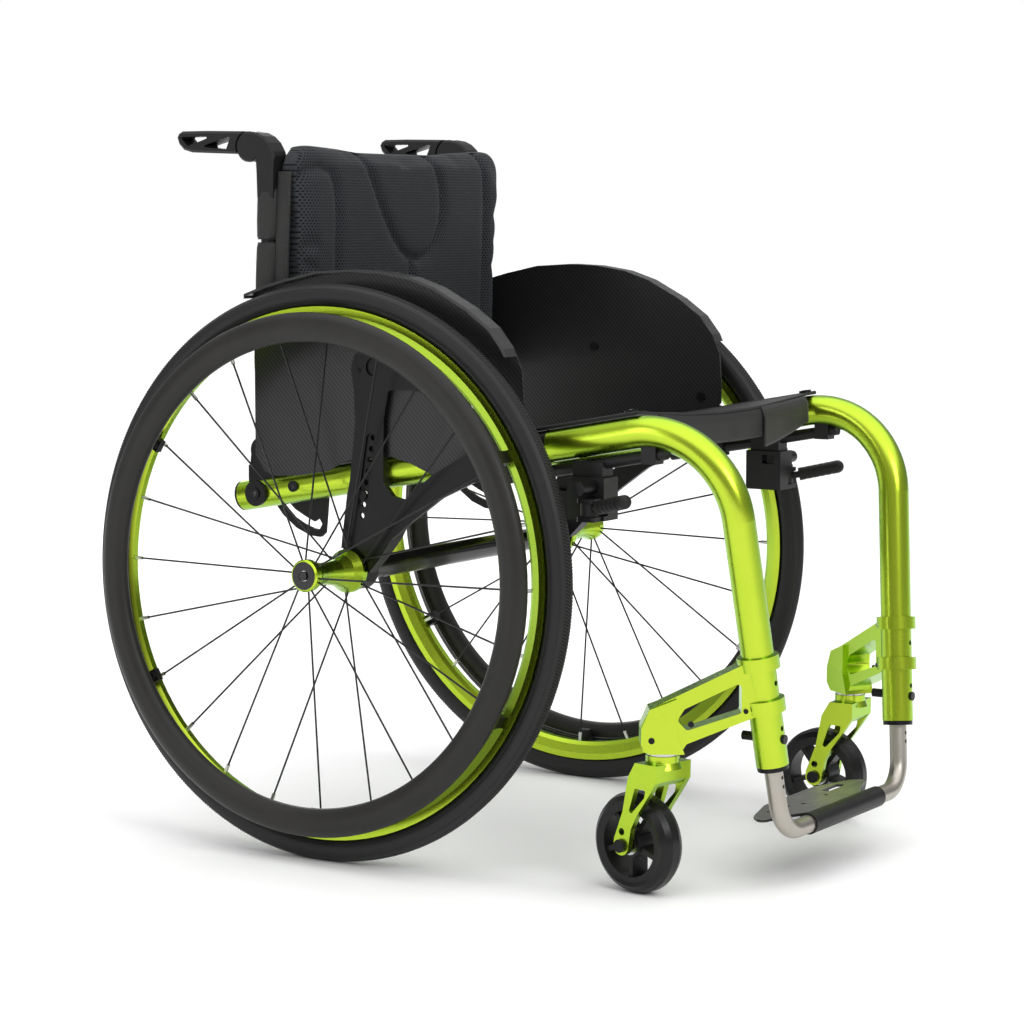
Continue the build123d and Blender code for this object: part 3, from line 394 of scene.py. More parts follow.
# %% [markdown]
# ## Spokes with bright nipples
# A spoke is black wire, and the nipple at its outer end is nickel. They are one solid here, so the
# finish decides by the distance from the wheel's axle, worked out from the dot products of the
# position and the axle.

# %% Spoke finish for each wheel
def spoke_finish(side):
    f = Finish(side + "_spoke", Roughness=0.3)
    from_hub = f.subtract(f.where, HUB[side])
    along, square = f.dot(from_hub, AXLE[side]), f.dot(from_hub, from_hub)
    radius = (square - along * along).root()
    nipple = radius.above(0.2425)
    f.set("Base Color", f.blend(nipple, (0.016, 0.016, 0.017), (0.66, 0.66, 0.64)))
    f.set("Metallic", 0.5 + nipple * 0.5)
    return f.material


print("spokes:", [spoke_finish(side).name for side in HUB])

# %% [markdown]
# ## Tyre rubber
# The shoulders of the tyre are smooth satin rubber, and the crown carries a herringbone tread. The
# ribs themselves are modelled below; the colour paints shade in the grooves between them, near
# black, and paints light on the ribs, a lighter grey than the shoulders. Where a point lies round
# the wheel comes from its angle, and a slant that grows with the distance from the crown line gives
# the herringbone.

# %% Tyre finish for each wheel
TREAD_RIBS = 560
TREAD_PITCH = math.tau * 295.0 * MM / TREAD_RIBS
TREAD_HALF = 6.2 * MM
TREAD_SLANT = 0.5               # sideways travel of a rib for each unit outwards


def tyre_finish(side):
    f = Finish(side + "_tyre_rubber", Specular_IOR_Level=0.28)
    out = AXLE[side] * OUTWARD[side]
    from_hub = f.subtract(f.where, HUB[side])
    ahead = Vector((0, 1, 0))
    along, forward, up = (f.dot(from_hub, axis) for axis in (out, ahead, out.cross(ahead)))
    radius = (forward * forward + up * up).root()
    turn = up.math("ARCTAN2", up, forward) * (TREAD_RIBS / math.tau)
    phase = turn - along.absolute() * (TREAD_SLANT / TREAD_PITCH) + 4096.5
    groove = (phase.fraction() - 0.5).absolute().above(0.19)
    band = along.absolute().below(TREAD_HALF) * radius.above(0.2925)
    grain = f.noise(1300.0, 3.0)
    cloud = f.noise(18.0, 3.0)
    smooth = f.blend(cloud, (0.010, 0.010, 0.010), (0.017, 0.017, 0.017))
    # Painted light and shade: the ribs a lighter grey as if lit, the grooves near black as if in shade.
    painted_rib_light_groove_shade = f.blend(groove, (0.026, 0.026, 0.026), (0.004, 0.004, 0.004))
    f.set("Base Color", f.blend(band, smooth, painted_rib_light_groove_shade))
    f.set("Roughness", 0.46 + band * 0.16 + (cloud - 0.5) * 0.12)
    f.bump(grain * 0.25 - groove * band, 0.0003, 0.6)
    return f.material


tyre_rubber = {side: tyre_finish(side) for side in HUB}
print("tyres:", [finish.name for finish in tyre_rubber.values()])

# %% [markdown]
# ## Woven carbon
# The side guards are carbon cloth in a 2 by 2 twill: each tow passes over two and under two, and
# every row steps one tow aside, which draws the fine diagonal. Whole numbers of the position tell
# tows apart; the remainder of their difference by four tells which way the tow on top runs, and so
# how it shines: its roughness, and a painted sheen in its colour, lighter where the warp is on top
# and darker where the weft is.

# %% Carbon twill
def carbon_twill():
    f = Finish("carbon_twill", Coat_Weight=0.25, Coat_Roughness=0.25, Specular_IOR_Level=0.3)
    tow = 1000.0 / 1.3
    across, up = f.axis("Y") * tow, f.axis("Z") * tow
    step = (across.floor() - up.floor() + 4000.0) / 4.0
    warp_on_top = step.fraction().below(0.49)
    round_warp = (across.fraction() * math.pi).sine()
    round_weft = (up.fraction() * math.pi).sine()
    rounded = warp_on_top * round_warp + (1 - warp_on_top) * round_weft
    lip = f.axis("X").absolute().above(0.2042)
    # Painted sheen: tows with the warp on top are lighter and the others darker, though both are one black
    # fibre.
    cloth = f.blend(warp_on_top, (0.004, 0.004, 0.0045), (0.019, 0.019, 0.020))
    f.set("Base Color", f.blend(lip, cloth, (0.020, 0.020, 0.020)))
    f.set("Roughness", 0.40 - 0.10 * warp_on_top - 0.08 * lip)
    f.bump(rounded * (1 - lip), 0.00012, 0.6)
    return f.material


carbon = carbon_twill()
print("finish:", carbon.name)

# %% [markdown]
# ## Fabrics
# The sling is ballistic nylon: a plain weave, so two sine waves at right angles, one for warp and
# one for weft. The back is spacer mesh: a net with round holes in staggered rows in charcoal yarn,
# the holes painted near black, a painted shade in the hollows.

# %% Nylon and spacer mesh
def nylon_weave(name, pitch=0.0009, colour=(0.009, 0.009, 0.010)):
    f = Finish(name, Roughness=0.55, Sheen_Weight=0.08, Sheen_Roughness=0.4, Specular_IOR_Level=0.35)
    turns = math.tau / pitch
    weave = ((f.axis("X") * turns).sine() + (f.axis("Y") * turns).sine()
             + (f.axis("Z") * turns).sine()) / 3.0
    cloud = f.noise(35.0, 3.0)
    f.set("Base Color", f.blend((cloud * 0.7 + weave * 0.3).clip(), tuple(c * 0.6 for c in colour), colour))
    f.bump(weave + cloud * 1.5, 0.00025, 0.6)
    return f.material


def spacer_mesh():
    f = Finish("spacer_mesh", Sheen_Weight=0.06, Sheen_Roughness=0.5, Specular_IOR_Level=0.2)
    column, row = f.axis("X") * 330.0, f.axis("Z") * 330.0
    line = row.floor()
    shifted = column + (line * 0.5).fraction()
    dx, dz = shifted.fraction() - 0.5, row.fraction() - 0.5
    from_hole = (dx * dx + dz * dz * 0.8).root()
    yarn = ((from_hole - 0.16) * 4.2).clip()
    cloud = f.noise(9.0, 2.0)
    charcoal = f.blend(cloud, (0.026, 0.029, 0.033), (0.036, 0.039, 0.044))
    # The holes are near black: painted shade in the hollows of the net.
    f.set("Base Color", f.blend(yarn, (0.002, 0.002, 0.0025), charcoal))
    f.set("Roughness", 0.86 - 0.14 * yarn)
    f.bump(yarn, 0.0006, 0.8)
    return f.material


nylon = nylon_weave("black_nylon")
webbing = nylon_weave("webbing", 0.0016, (0.022, 0.021, 0.020))
mesh_cloth = spacer_mesh()
thread = nylon_weave("thread", 0.0007, (0.030, 0.030, 0.032))
print("fabrics:", nylon.name, webbing.name, mesh_cloth.name)

# %% [markdown]
# ## Footplate
# A thin aluminium plate, black underneath and along its edge. Its top is a lighter metallic grey,
# a painted reflection of the bright overhead light, with streaks of wear. Height tells top from edge.

# %% Footplate finish
def plate_wear_and_painted_reflection():
    f = Finish("plate_wear_and_painted_reflection")
    low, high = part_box("footplate")
    top = f.axis("Z").above(high.z - 0.0004)
    scratches = f.noise(260.0, 3.0, (0.15, 1.0, 1.0))
    wear = ((scratches - 0.35) * 2.2).clip()
    # The top's lighter metallic grey is a painted reflection of the overhead light; the lighter streaks in
    # it are wear.
    face = f.blend(wear, (0.27, 0.265, 0.255), (0.36, 0.355, 0.34))
    f.set("Base Color", f.blend(top, (0.02, 0.02, 0.02), face))
    f.set("Metallic", top)
    f.set("Roughness", 0.46 - 0.12 * wear * top)
    f.bump(scratches, 0.00002, 0.4)
    return f.material


plate = plate_wear_and_painted_reflection()

# %% Put the finishes on the CAD pieces
FINISHES = {
    "wheel_rim": lime, "wheel_hub": lime, "wheel_bearings": bright_steel,
    "wheel_hub_cap": black_gloss, "handrim": handrim_coat, "handrim_tabs": black_plastic,
    "release_axle": bright_steel, "release_button": black_gloss, "front_tube": lime, "rear_tubes": lime,
    "tube_joiners": black_anodised, "axle_bracket": black_anodised, "camber_tube": black_gloss,
    "axle_sleeves": bright_steel, "side_guard": carbon, "footrest_tube": titanium,
    "footplate_sleeve": black_plastic, "footplate": plate, "caster_arm": lime, "stem_bearings": bright_steel,
    "caster_fork": lime, "caster_bolts": screw_black, "caster_tyre": caster_rubber,
    "caster_hub": black_plastic, "caster_bearings": bright_steel, "brake_housings": black_plastic,
    "brake_lever": grip_rubber, "brake_shoe": black_anodised, "backrest_posts": black_anodised,
    "backrest_feet": black_anodised, "backrest_brackets": black_anodised, "handle_heads": black_plastic,
    "push_handle": black_plastic, "frame_screws": screw_black,
    "seat_sling": nylon, "backrest_pad": mesh_cloth,
}


def paint_cad_pieces():
    for name, piece in nodes.items():
        plain = name.removeprefix("left_").removeprefix("right_")
        if plain == "wheel_spokes":
            finish = bpy.data.materials[name.split("_")[0] + "_spoke"]
        elif plain == "wheel_tyre":
            finish = tyre_rubber[name.split("_")[0]]
        else:
            finish = FINISHES[plain]
        piece.data.materials.clear()
        piece.data.materials.append(finish)


paint_cad_pieces()
print("painted", len(nodes), "pieces")

# %% [markdown]
# ## Meshes made in code
# Most soft pieces are a grid of points: rows of points that faces join. This helper makes such a
# grid, closed round or open, and recalculates the normals so that they point outwards.

# %% Grid and piece helpers
def new_piece(name, mesh, finish, body):
    mesh.materials.clear()
    mesh.materials.append(finish)
    piece = bpy.data.objects.new(name, mesh)
    bpy.context.scene.collection.objects.link(piece)
    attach(piece, body)
    return piece


def grid_mesh(name, rows, round_rows=False, round_columns=False, smooth=True):
    mesh = bpy.data.meshes.new(name)
    wide = len(rows[0])
    points = [point for row in rows for point in row]
    faces = []
    for i in range(len(rows) if round_rows else len(rows) - 1):
        for j in range(wide if round_columns else wide - 1):
            a, b = i * wide, (i + 1) % len(rows) * wide
            k = (j + 1) % wide
            faces.append((a + j, a + k, b + k, b + j))
    mesh.from_pydata([tuple(p) for p in points], [], faces)
    outward_normals(mesh)
    mesh.shade_smooth() if smooth else mesh.shade_flat()
    return mesh


def outward_normals(mesh, cap=False):
    bm = bmesh.new()
    bm.from_mesh(mesh)
    if cap:
        bmesh.ops.holes_fill(bm, edges=bm.edges)
    bmesh.ops.remove_doubles(bm, verts=bm.verts, dist=1e-6)
    bmesh.ops.recalc_face_normals(bm, faces=bm.faces)
    bm.to_mesh(mesh)
    bm.free()


def tube_mesh(name, path, radius, sides=10, closed=False):
    """A tube of round section along a list of points."""
    rows = []
    count = len(path)
    side = None
    for i, point in enumerate(path):
        before = path[i - 1] if i or closed else path[0]
        after = path[(i + 1) % count] if i < count - 1 or closed else path[-1]
        along = (after - before).normalized()
        side = along.orthogonal() if side is None else side - along * side.dot(along)
        side.normalize()
        up = along.cross(side)
        ring = [(math.cos(math.tau * k / sides), math.sin(math.tau * k / sides)) for k in range(sides)]
        rows.append([point + (side * u + up * v) * radius for u, v in ring])
    mesh = grid_mesh(name, rows, round_rows=closed, round_columns=True)
    if not closed:
        outward_normals(mesh, cap=True)
    return mesh


def applied(piece):
    """The piece's mesh with its modifiers applied, and the modifiers removed."""
    graph = bpy.context.evaluated_depsgraph_get()
    mesh = bpy.data.meshes.new_from_object(piece.evaluated_get(graph))
    piece.modifiers.clear()
    piece.data = mesh
    return piece


print("mesh helpers ready")

# %% [markdown]
# ## Copies with Geometry Nodes
# Tread ribs and stitches are the same little piece again and again. Two node trees
# make them: one sets copies round a circle, one sets copies along a path. Both end by making the
# copies real and giving them a finish, because an export drops instances.

# %% Tree that sets copies round a circle
def copies_round_a_circle():
    tree = bpy.data.node_groups.new("copies_round_a_circle", "GeometryNodeTree")
    tree.interface.new_socket(name="Geometry", in_out="OUTPUT", socket_type="NodeSocketGeometry")
    for name, kind in (("Copy", "Object"), ("Count", "Int"), ("Radius", "Float"), ("Start", "Float"),
                       ("Centre", "Vector"), ("Turn", "Rotation"), ("Finish", "Material")):
        tree.interface.new_socket(name=name, in_out="INPUT", socket_type="NodeSocket" + kind)
    make, link = tree.nodes.new, tree.links.new
    given, done = make("NodeGroupInput"), make("NodeGroupOutput")
    points, index = make("GeometryNodePoints"), make("GeometryNodeInputIndex")
    share, angle = make("ShaderNodeMath"), make("ShaderNodeMath")
    share.operation, angle.operation = "DIVIDE", "MULTIPLY_ADD"
    angle.inputs[1].default_value = math.tau
    link(given.outputs["Count"], points.inputs["Count"])
    link(index.outputs[0], share.inputs[0])
    link(given.outputs["Count"], share.inputs[1])
    link(share.outputs[0], angle.inputs[0])
    link(given.outputs["Start"], angle.inputs[2])
    turn, spin = make("ShaderNodeCombineXYZ"), make("ShaderNodeVectorRotate")
    arm = make("ShaderNodeCombineXYZ")
    spin.rotation_type = "Z_AXIS"
    link(angle.outputs[0], turn.inputs[2])
    link(given.outputs["Radius"], arm.inputs[0])
    link(arm.outputs[0], spin.inputs["Vector"])
    link(angle.outputs[0], spin.inputs["Angle"])
    link(spin.outputs[0], points.inputs["Position"])
    copy, scatter = make("GeometryNodeObjectInfo"), make("GeometryNodeInstanceOnPoints")
    link(given.outputs["Copy"], copy.inputs["Object"])
    link(points.outputs[0], scatter.inputs["Points"])
    link(copy.outputs["Geometry"], scatter.inputs["Instance"])
    link(turn.outputs[0], scatter.inputs["Rotation"])
    move = make("GeometryNodeTransform")
    link(scatter.outputs[0], move.inputs["Geometry"])
    link(given.outputs["Centre"], move.inputs["Translation"])
    link(given.outputs["Turn"], move.inputs["Rotation"])
    finish_copies(tree, move.outputs[0], given.outputs["Finish"], done)
    return tree


def finish_copies(tree, geometry, finish, done):
    real, paint = tree.nodes.new("GeometryNodeRealizeInstances"), tree.nodes.new("GeometryNodeSetMaterial")
    tree.links.new(geometry, real.inputs["Geometry"])
    tree.links.new(real.outputs[0], paint.inputs["Geometry"])
    tree.links.new(finish, paint.inputs["Material"])
    tree.links.new(paint.outputs[0], done.inputs[0])


# %% Tree that sets copies along a path
def copies_along_a_path():
    tree = bpy.data.node_groups.new("copies_along_a_path", "GeometryNodeTree")
    tree.interface.new_socket(name="Geometry", in_out="OUTPUT", socket_type="NodeSocketGeometry")
    for name, kind in (("Path", "Object"), ("Copy", "Object"), ("Spacing", "Float"), ("Finish", "Material")):
        tree.interface.new_socket(name=name, in_out="INPUT", socket_type="NodeSocket" + kind)
    make, link = tree.nodes.new, tree.links.new
    given, done = make("NodeGroupInput"), make("NodeGroupOutput")
    path, copy = make("GeometryNodeObjectInfo"), make("GeometryNodeObjectInfo")
    link(given.outputs["Path"], path.inputs["Object"])
    link(given.outputs["Copy"], copy.inputs["Object"])
    curve, points = make("GeometryNodeMeshToCurve"), make("GeometryNodeCurveToPoints")
    points.mode = "LENGTH"
    link(path.outputs["Geometry"], curve.inputs[0])
    link(curve.outputs[0], points.inputs["Curve"])
    link(given.outputs["Spacing"], points.inputs["Length"])
    align, scatter = make("FunctionNodeAlignRotationToVector"), make("GeometryNodeInstanceOnPoints")
    align.axis = "X"
    link(points.outputs["Tangent"], align.inputs["Vector"])
    link(points.outputs[0], scatter.inputs["Points"])
    link(copy.outputs["Geometry"], scatter.inputs["Instance"])
    link(align.outputs[0], scatter.inputs["Rotation"])
    finish_copies(tree, scatter.outputs[0], given.outputs["Finish"], done)
    return tree


# %% Run a tree and keep its mesh
def baked_copies(name, tree, values, body):
    host = bpy.data.objects.new(name + "_host", bpy.data.meshes.new(name + "_host"))
    bpy.context.scene.collection.objects.link(host)
    modifier = host.modifiers.new("copies", "NODES")
    modifier.node_group = tree
    for item in tree.interface.items_tree:
        if item.name in values:
            modifier[item.identifier] = values[item.name]
    graph = bpy.context.evaluated_depsgraph_get()
    mesh = bpy.data.meshes.new_from_object(host.evaluated_get(graph))
    bpy.data.objects.remove(host)
    piece = bpy.data.objects.new(name, mesh)
    bpy.context.scene.collection.objects.link(piece)
    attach(piece, body)
    print(name, "faces:", len(mesh.polygons))
    return piece


def pattern(name, points, faces):
    """A small mesh to be copied; it isn't itself shown."""
    mesh = bpy.data.meshes.new(name)
    mesh.from_pydata(points, [], faces)
    outward_normals(mesh)
    piece = bpy.data.objects.new(name, mesh)
    bpy.context.scene.collection.objects.link(piece)
    piece.hide_render = True
    return piece


circle_tree, path_tree = copies_round_a_circle(), copies_along_a_path()

# %% [markdown]
# ## Tyre tread
# A wheelchair tyre is almost a slick: its crown carries a band of fine slanting ribs in two rows,
# like a herringbone, and its shoulders are smooth. One rib is a low bar; the circle tree sets it
# round each row.

# %% Tread ribs
def tread_rib():
    length, half, low, high = TREAD_HALF, 0.52 * MM, -0.9 * MM, 0.0
    shear = TREAD_SLANT * TREAD_HALF
    corners = []
    for z, y in ((0.2 * MM, 0), (length, shear)):
        drop = -(z / (12.5 * MM)) ** 2 * 12.5 * MM / 2
        for h in (low, high):
            for side in (-half, half):
                corners.append((h + drop, y + side, z))
    faces = [(0, 1, 3, 2), (4, 6, 7, 5), (0, 4, 5, 1), (2, 3, 7, 6), (0, 2, 6, 4), (1, 5, 7, 3)]
    return pattern("tread_rib", corners, faces)


def wheel_turn(side):
    """Turns local Z to the wheel's axle, outboard positive."""
    out = AXLE[side] * OUTWARD[side]
    forward = Vector((0, 1, 0))
    return Matrix((forward, out.cross(forward), out)).transposed().to_euler()


def mirrored_rib(rib):
    copy = pattern("tread_rib_inner", [(v.co.x, v.co.y, -v.co.z) for v in rib.data.vertices],
                   [tuple(p.vertices) for p in rib.data.polygons])
    return copy


outer_rib = tread_rib()
inner_rib = mirrored_rib(outer_rib)
for side in HUB:
    for row, rib in (("outer", outer_rib), ("inner", inner_rib)):
        baked_copies(f"{side}_tread_{row}", circle_tree, {
            "Copy": rib, "Count": TREAD_RIBS, "Radius": 0.2954, "Start": 0.0,
            "Centre": HUB[side], "Turn": wheel_turn(side), "Finish": tyre_rubber[side]},
            side + "_wheel")

# %% [markdown]
# ## Rings on the wheels
# The push ring is clipped into a thin glossy carrier ring on its inner side, and each tyre shoulder
# carries a moulded line. Both are tubes of small round section along a circle.

# %% Carrier ring and moulded lines
def ring_path(side, radius, out, count=180):
    turn = wheel_turn(side).to_matrix()
    angles = [math.tau * i / count for i in range(count)]
    return [HUB[side] + turn @ Vector((radius * MM * math.cos(a), radius * MM * math.sin(a), out * MM))
            for a in angles]


for side in HUB:
    carrier = tube_mesh(side + "_carrier_ring", ring_path(side, 254.0, 23.4), 2.2 * MM, 12, closed=True)
    new_piece(side + "_carrier_ring", carrier, black_gloss, side + "_wheel")
    for k, (radius, out) in enumerate(((289.6, 10.15), (277.5, 11.5), (289.6, -10.15))):
        line = tube_mesh("line", ring_path(side, radius, out), 0.5 * MM, 6, closed=True)
        new_piece(f"{side}_tyre_line_{k}", line, tyre_rubber[side], side + "_wheel")
print("wheel rings made")

# %% [markdown]
# ## The padded back
# The back is foam in spacer mesh, sewn into panels. The CAD block is remeshed into small even
# faces, blown up a little as cloth, and then the sewn channels are pressed in, because a cloth of
# this size can't hold so fine a seam.

# %% Blow up the block
BACK_LEAN = math.radians(2.1)


def padded_block():
    source = nodes["backrest_pad"]
    piece = bpy.data.objects.new("back_upholstery", source.data.copy())
    bpy.context.scene.collection.objects.link(piece)
    outward_normals(piece.data)
    middle = sum((Vector(c) for c in source.bound_box), Vector()) / 8
    for vertex in piece.data.vertices:
        vertex.co = middle + Vector((p * q for p, q in zip(vertex.co - middle, (0.995, 0.93, 0.995))))
    remesh = piece.modifiers.new("even faces", "REMESH")
    remesh.mode, remesh.voxel_size = "VOXEL", 4.6 * MM
    applied(piece)
    start = [v.co.copy() for v in piece.data.vertices]
    inflate(piece)
    for vertex, rest in zip(piece.data.vertices, start):
        move = vertex.co - rest
        if move.length > 9 * MM:
            vertex.co = rest + move.normalized() * 9 * MM
    finer = piece.modifiers.new("finer", "SUBSURF")
    finer.levels = finer.render_levels = 1
    applied(piece)
    return piece


def inflate(piece):
    cloth = piece.modifiers.new("cloth", "CLOTH")
    cloth.settings.use_pressure = True
    cloth.settings.uniform_pressure_force = 3.0
    cloth.settings.tension_stiffness = cloth.settings.compression_stiffness = 25
    cloth.settings.effector_weights.gravity = 0.0
    cloth.point_cache.frame_start, cloth.point_cache.frame_end = 1, 20
    for step in range(1, 21):
        bpy.context.scene.frame_set(step)
    applied(piece)
    bpy.context.scene.frame_set(1)


upholstery = padded_block()
print("upholstery points:", len(upholstery.data.vertices))

# %% [markdown]
# ### Sewn channels
# A seam is a line on the front face. Every point of the front near a seam is pushed in, most on the
# line and less to each side, which leaves the rounded panels that the foam makes between its seams.

# %% Seams
SIDE_SEAM = [(-185, 700), (-178, 706), (-160, 709), (-143, 703),
             (-134, 686), (-130, 660), (-130, 560), (-130, 484)]
FAR_SEAM = [(141, 728), (147, 700), (150, 670), (150, 484)]
CENTRE_PANEL = [(-92, 736), (-76, 708), (-61, 684), (-46, 660), (-31, 640), (-14, 622), (2, 613), (20, 611),
                (38, 617), (51, 630), (60, 648), (63, 668), (60, 690), (50, 712), (38, 736)]
CENTRE_SEAM = [(6, 612), (6, 484)]


def distance_to_line(x, z, line):
    best = 1e9
    for (x0, z0), (x1, z1) in zip(line, line[1:]):
        dx, dz = x1 - x0, z1 - z0
        t = max(0.0, min(1.0, ((x - x0) * dx + (z - z0) * dz) / (dx * dx + dz * dz)))
        best = min(best, math.hypot(x - x0 - t * dx, z - z0 - t * dz))
    return best


def press_seams(piece, lines, depth, width):
    for vertex, normal in zip(piece.data.vertices, [v.normal.copy() for v in piece.data.vertices]):
        if normal.y > -0.35:
            continue
        x, z = vertex.co.x / MM, vertex.co.z / MM
        near = min(distance_to_line(x, z, line) for line in lines)
        if near < 4 * width:
            vertex.co.y += depth * MM * math.exp(-(near / width) ** 1.3)


press_seams(upholstery, [SIDE_SEAM, FAR_SEAM, CENTRE_PANEL, CENTRE_SEAM], 6.5, 5.0)
upholstery.data.shade_smooth()
upholstery.data.materials.clear()
upholstery.data.materials.append(mesh_cloth)
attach(upholstery, "backrest")
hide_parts("backrest_pad")
low, high = (Vector(c) for c in (upholstery.bound_box[0], upholstery.bound_box[6]))
print("upholstery", [round(v, 3) for v in (*low, *high)])

# %% [markdown]
# ### Piping and stitches
# The sides of the cover close in a folded tape with a row of stitches. The tape is a flat tube
# beside the front edge, and the stitches are short rods that the path tree sets along it.

# %% Tape and stitches
def edge_path(x, lift=0.0, low_z=492.0, high_z=722.0, steps=40):
    points = []
    for i in range(steps + 1):
        z = low_z + (high_z - low_z) * i / steps
        y = 121 - (z - 412) * math.tan(BACK_LEAN) - 11.3 - lift
        bulge = 2.0 * math.sin(math.pi * i / steps)
        points.append(place(x + math.copysign(bulge, x), y, z))
    return points


def path_piece(name, points):
    mesh = bpy.data.meshes.new(name)
    mesh.from_pydata([tuple(p) for p in points], [(i, i + 1) for i in range(len(points) - 1)], [])
    piece = bpy.data.objects.new(name, mesh)
    bpy.context.scene.collection.objects.link(piece)
    piece.hide_render = True
    return piece


def stitch():
    half, r = 1.3 * MM, 0.35 * MM
    points = [(x, r * c, r * s) for x in (-half, half) for c, s in ((1, 0), (0, 1), (-1, 0), (0, -1))]
    faces = [(i, (i + 1) % 4, 4 + (i + 1) % 4, 4 + i) for i in range(4)] + [(3, 2, 1, 0), (4, 5, 6, 7)]
    return pattern("stitch", points, faces)


def tape_mesh(side):
    """A folded tape along the side of the pad: a flat strip with round edges that follows the post."""
    rows = []
    for point in edge_path(side * 189.6, 9.6, 490.0, 704.0):
        row = []
        for k in range(20):
            c, s = math.cos(math.tau * k / 20), math.sin(math.tau * k / 20)
            u = math.copysign(abs(c) ** 0.5, c) * 2.2
            v = math.copysign(abs(s) ** 0.5, s) * 8.4
            row.append(point + Vector((u, v, 0)) * MM)
        rows.append(row)
    mesh = grid_mesh("tape", rows, round_columns=True)
    outward_normals(mesh, cap=True)
    return mesh


one_stitch = stitch()
for label, side in (("right", -1), ("left", 1)):
    new_piece(label + "_back_tape", tape_mesh(side), webbing, "backrest")
    route = path_piece("route", edge_path(side * 191.9, 14.4, 494.0, 700.0))
    baked_copies(label + "_back_stitches", path_tree, {
        "Path": route, "Copy": one_stitch, "Spacing": 4.2 * MM, "Finish": thread}, "backrest")

# %% [markdown]
# ### Tension straps
# Behind the cover, wide straps go round each post and close with hook and loop. Each is a rounded
# box section that bulges a little between its ends.

# %% Straps round the posts
def strap_mesh(name, x, y, low_z, high_z, half_x, half_y):
    rows = []
    steps = 14
    for i in range(steps + 1):
        t = i / steps
        z = low_z + (high_z - low_z) * t
        swell = 1.0 + 0.05 * math.sin(math.pi * t) - (0.06 if i in (0, steps) else 0.0)
        lean = -(z - 412) * math.tan(BACK_LEAN)
        row = []
        for k in range(32):
            a = math.tau * k / 32
            c, s = math.cos(a), math.sin(a)
            u = math.copysign(abs(c) ** 0.6, c) * half_x * swell
            v = math.copysign(abs(s) ** 0.6, s) * half_y * swell
            u += 0.5 * noise.noise(Vector((c * 2, s * 2, z * 0.08)))
            row.append(place(x + u, y + lean + v, z))
        rows.append(row)
    mesh = grid_mesh(name, rows, round_columns=True)
    outward_normals(mesh, cap=True)
    return mesh


for label, side in (("right", -1), ("left", 1)):
    for k, (low_z, high_z) in enumerate(((633.5, 686), (562, 630.5), (492, 559))):
        strap = strap_mesh("strap", side * 183.5, 120.4, low_z, high_z, 13.6, 13.2)
        new_piece(f"{label}_back_strap_{k}", strap, webbing, "backrest")
print("straps made")

# %% [markdown]
# ## The sling seat
# Ballistic nylon is drawn over both tubes and sags between them. Rows of points across the chair
# follow the tube tops and a shallow curve between; Solidify gives the cloth its thickness, and its
# front edge hangs down as a flap.

# %% Seat sheet
TUBE_X = 185.0
SEAT_FRONT, SEAT_REAR = -339.0, 94.0


def tube_height(y):
    return 423.4 - 0.1808 * (y + 190.0)


def sling_lift(x):
    """Height of the cloth over the tubes' centre line, square to it."""
    x = abs(x)
    if x > 168:
        over = (x - TUBE_X) / 24.0
        return 19.6 - 2.2 * over * over
    t = x / 168.0
    return 11.0 + 7.5 * t ** 2.0


def seat_sheet():
    rows = []
    for i in range(61):
        y = SEAT_FRONT + (SEAT_REAR - SEAT_FRONT) * i / 60
        row = []
        for j in range(65):
            x = -192 + 384 * j / 64
            crease = 0.5 * noise.noise(Vector((x * 0.02, y * 0.03, 1.7)))
            lift = sling_lift(x) + (crease if abs(x) < 165 else 0)
            row.append(place(x, y + 0.178 * lift, tube_height(y) + 0.984 * lift))
        rows.append(row)
    return grid_mesh("seat_cloth", rows)


def thickened(piece, thickness, offset=-1.0):
    solid = piece.modifiers.new("thickness", "SOLIDIFY")
    solid.thickness, solid.offset, solid.use_even_offset = thickness, offset, True
    return applied(piece)


def facing(piece, direction):
    """Turns the whole sheet so that its faces look along direction."""
    total = sum((p.normal * p.area for p in piece.data.polygons), Vector())
    if total.dot(Vector(direction)) < 0:
        piece.data.flip_normals()
    return piece


seat = new_piece("seat_cloth", seat_sheet(), nylon, "frame")
facing(seat, (0, 0, 1))
seat_length = math.hypot(SEAT_REAR - SEAT_FRONT, tube_height(SEAT_FRONT) - tube_height(SEAT_REAR)) * MM
thickened(seat, 2.4 * MM)
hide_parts("seat_sling")

# %% [markdown]
# ### Front flap, pocket and hems
# The front edge folds down into a flap about as deep as the tube, creased where it bends, and a
# stiff label pocket wraps its left part. Rolled hems run along the outer edges on the tubes.

# %% Front flap
def flap_rows(x0, x1, drop, push, top_push=0.0, columns=48, rows=12, sag=0.0):
    result = []
    front = tube_height(SEAT_FRONT)
    for i in range(rows + 1):
        t = i / rows
        row = []
        for j in range(columns + 1):
            x = x0 + (x1 - x0) * j / columns
            top = front + 0.984 * sling_lift(x) - 1.5
            fold = 1.1 * noise.noise(Vector((x * 0.035, t * 1.6, 4.1)))
            curl = math.sin(min(1.0, t * 3.0) * math.pi / 2)
            y = SEAT_FRONT + 3.2 - top_push - push * curl - fold * t
            z = top - drop * t + sag * math.sin(math.pi * j / columns) * t
            row.append(place(x, y, z))
        result.append(row)
    return result


def pocket_rows():
    """The pocket is shallower at its outer end, where it passes over the tube."""
    rows = flap_rows(62, 161, 42, 5.4, 1.6, 32, 12)
    for row in rows:
        for j, point in enumerate(row):
            point.z += (rows[0][j].z - point.z) * 0.36 * (j / 32) ** 1.3
    return rows


flap = new_piece("seat_front_flap", grid_mesh("flap", flap_rows(-149, 149, 31, 4.0)), nylon, "frame")
facing(flap, (0, -1, 0))
thickened(flap, 1.4 * MM)
pocket = new_piece("seat_label_pocket", grid_mesh("pocket", pocket_rows()), webbing,
                   "frame")
facing(pocket, (0, -1, 0))
thickened(pocket, 1.6 * MM)
print("flap and pocket made")

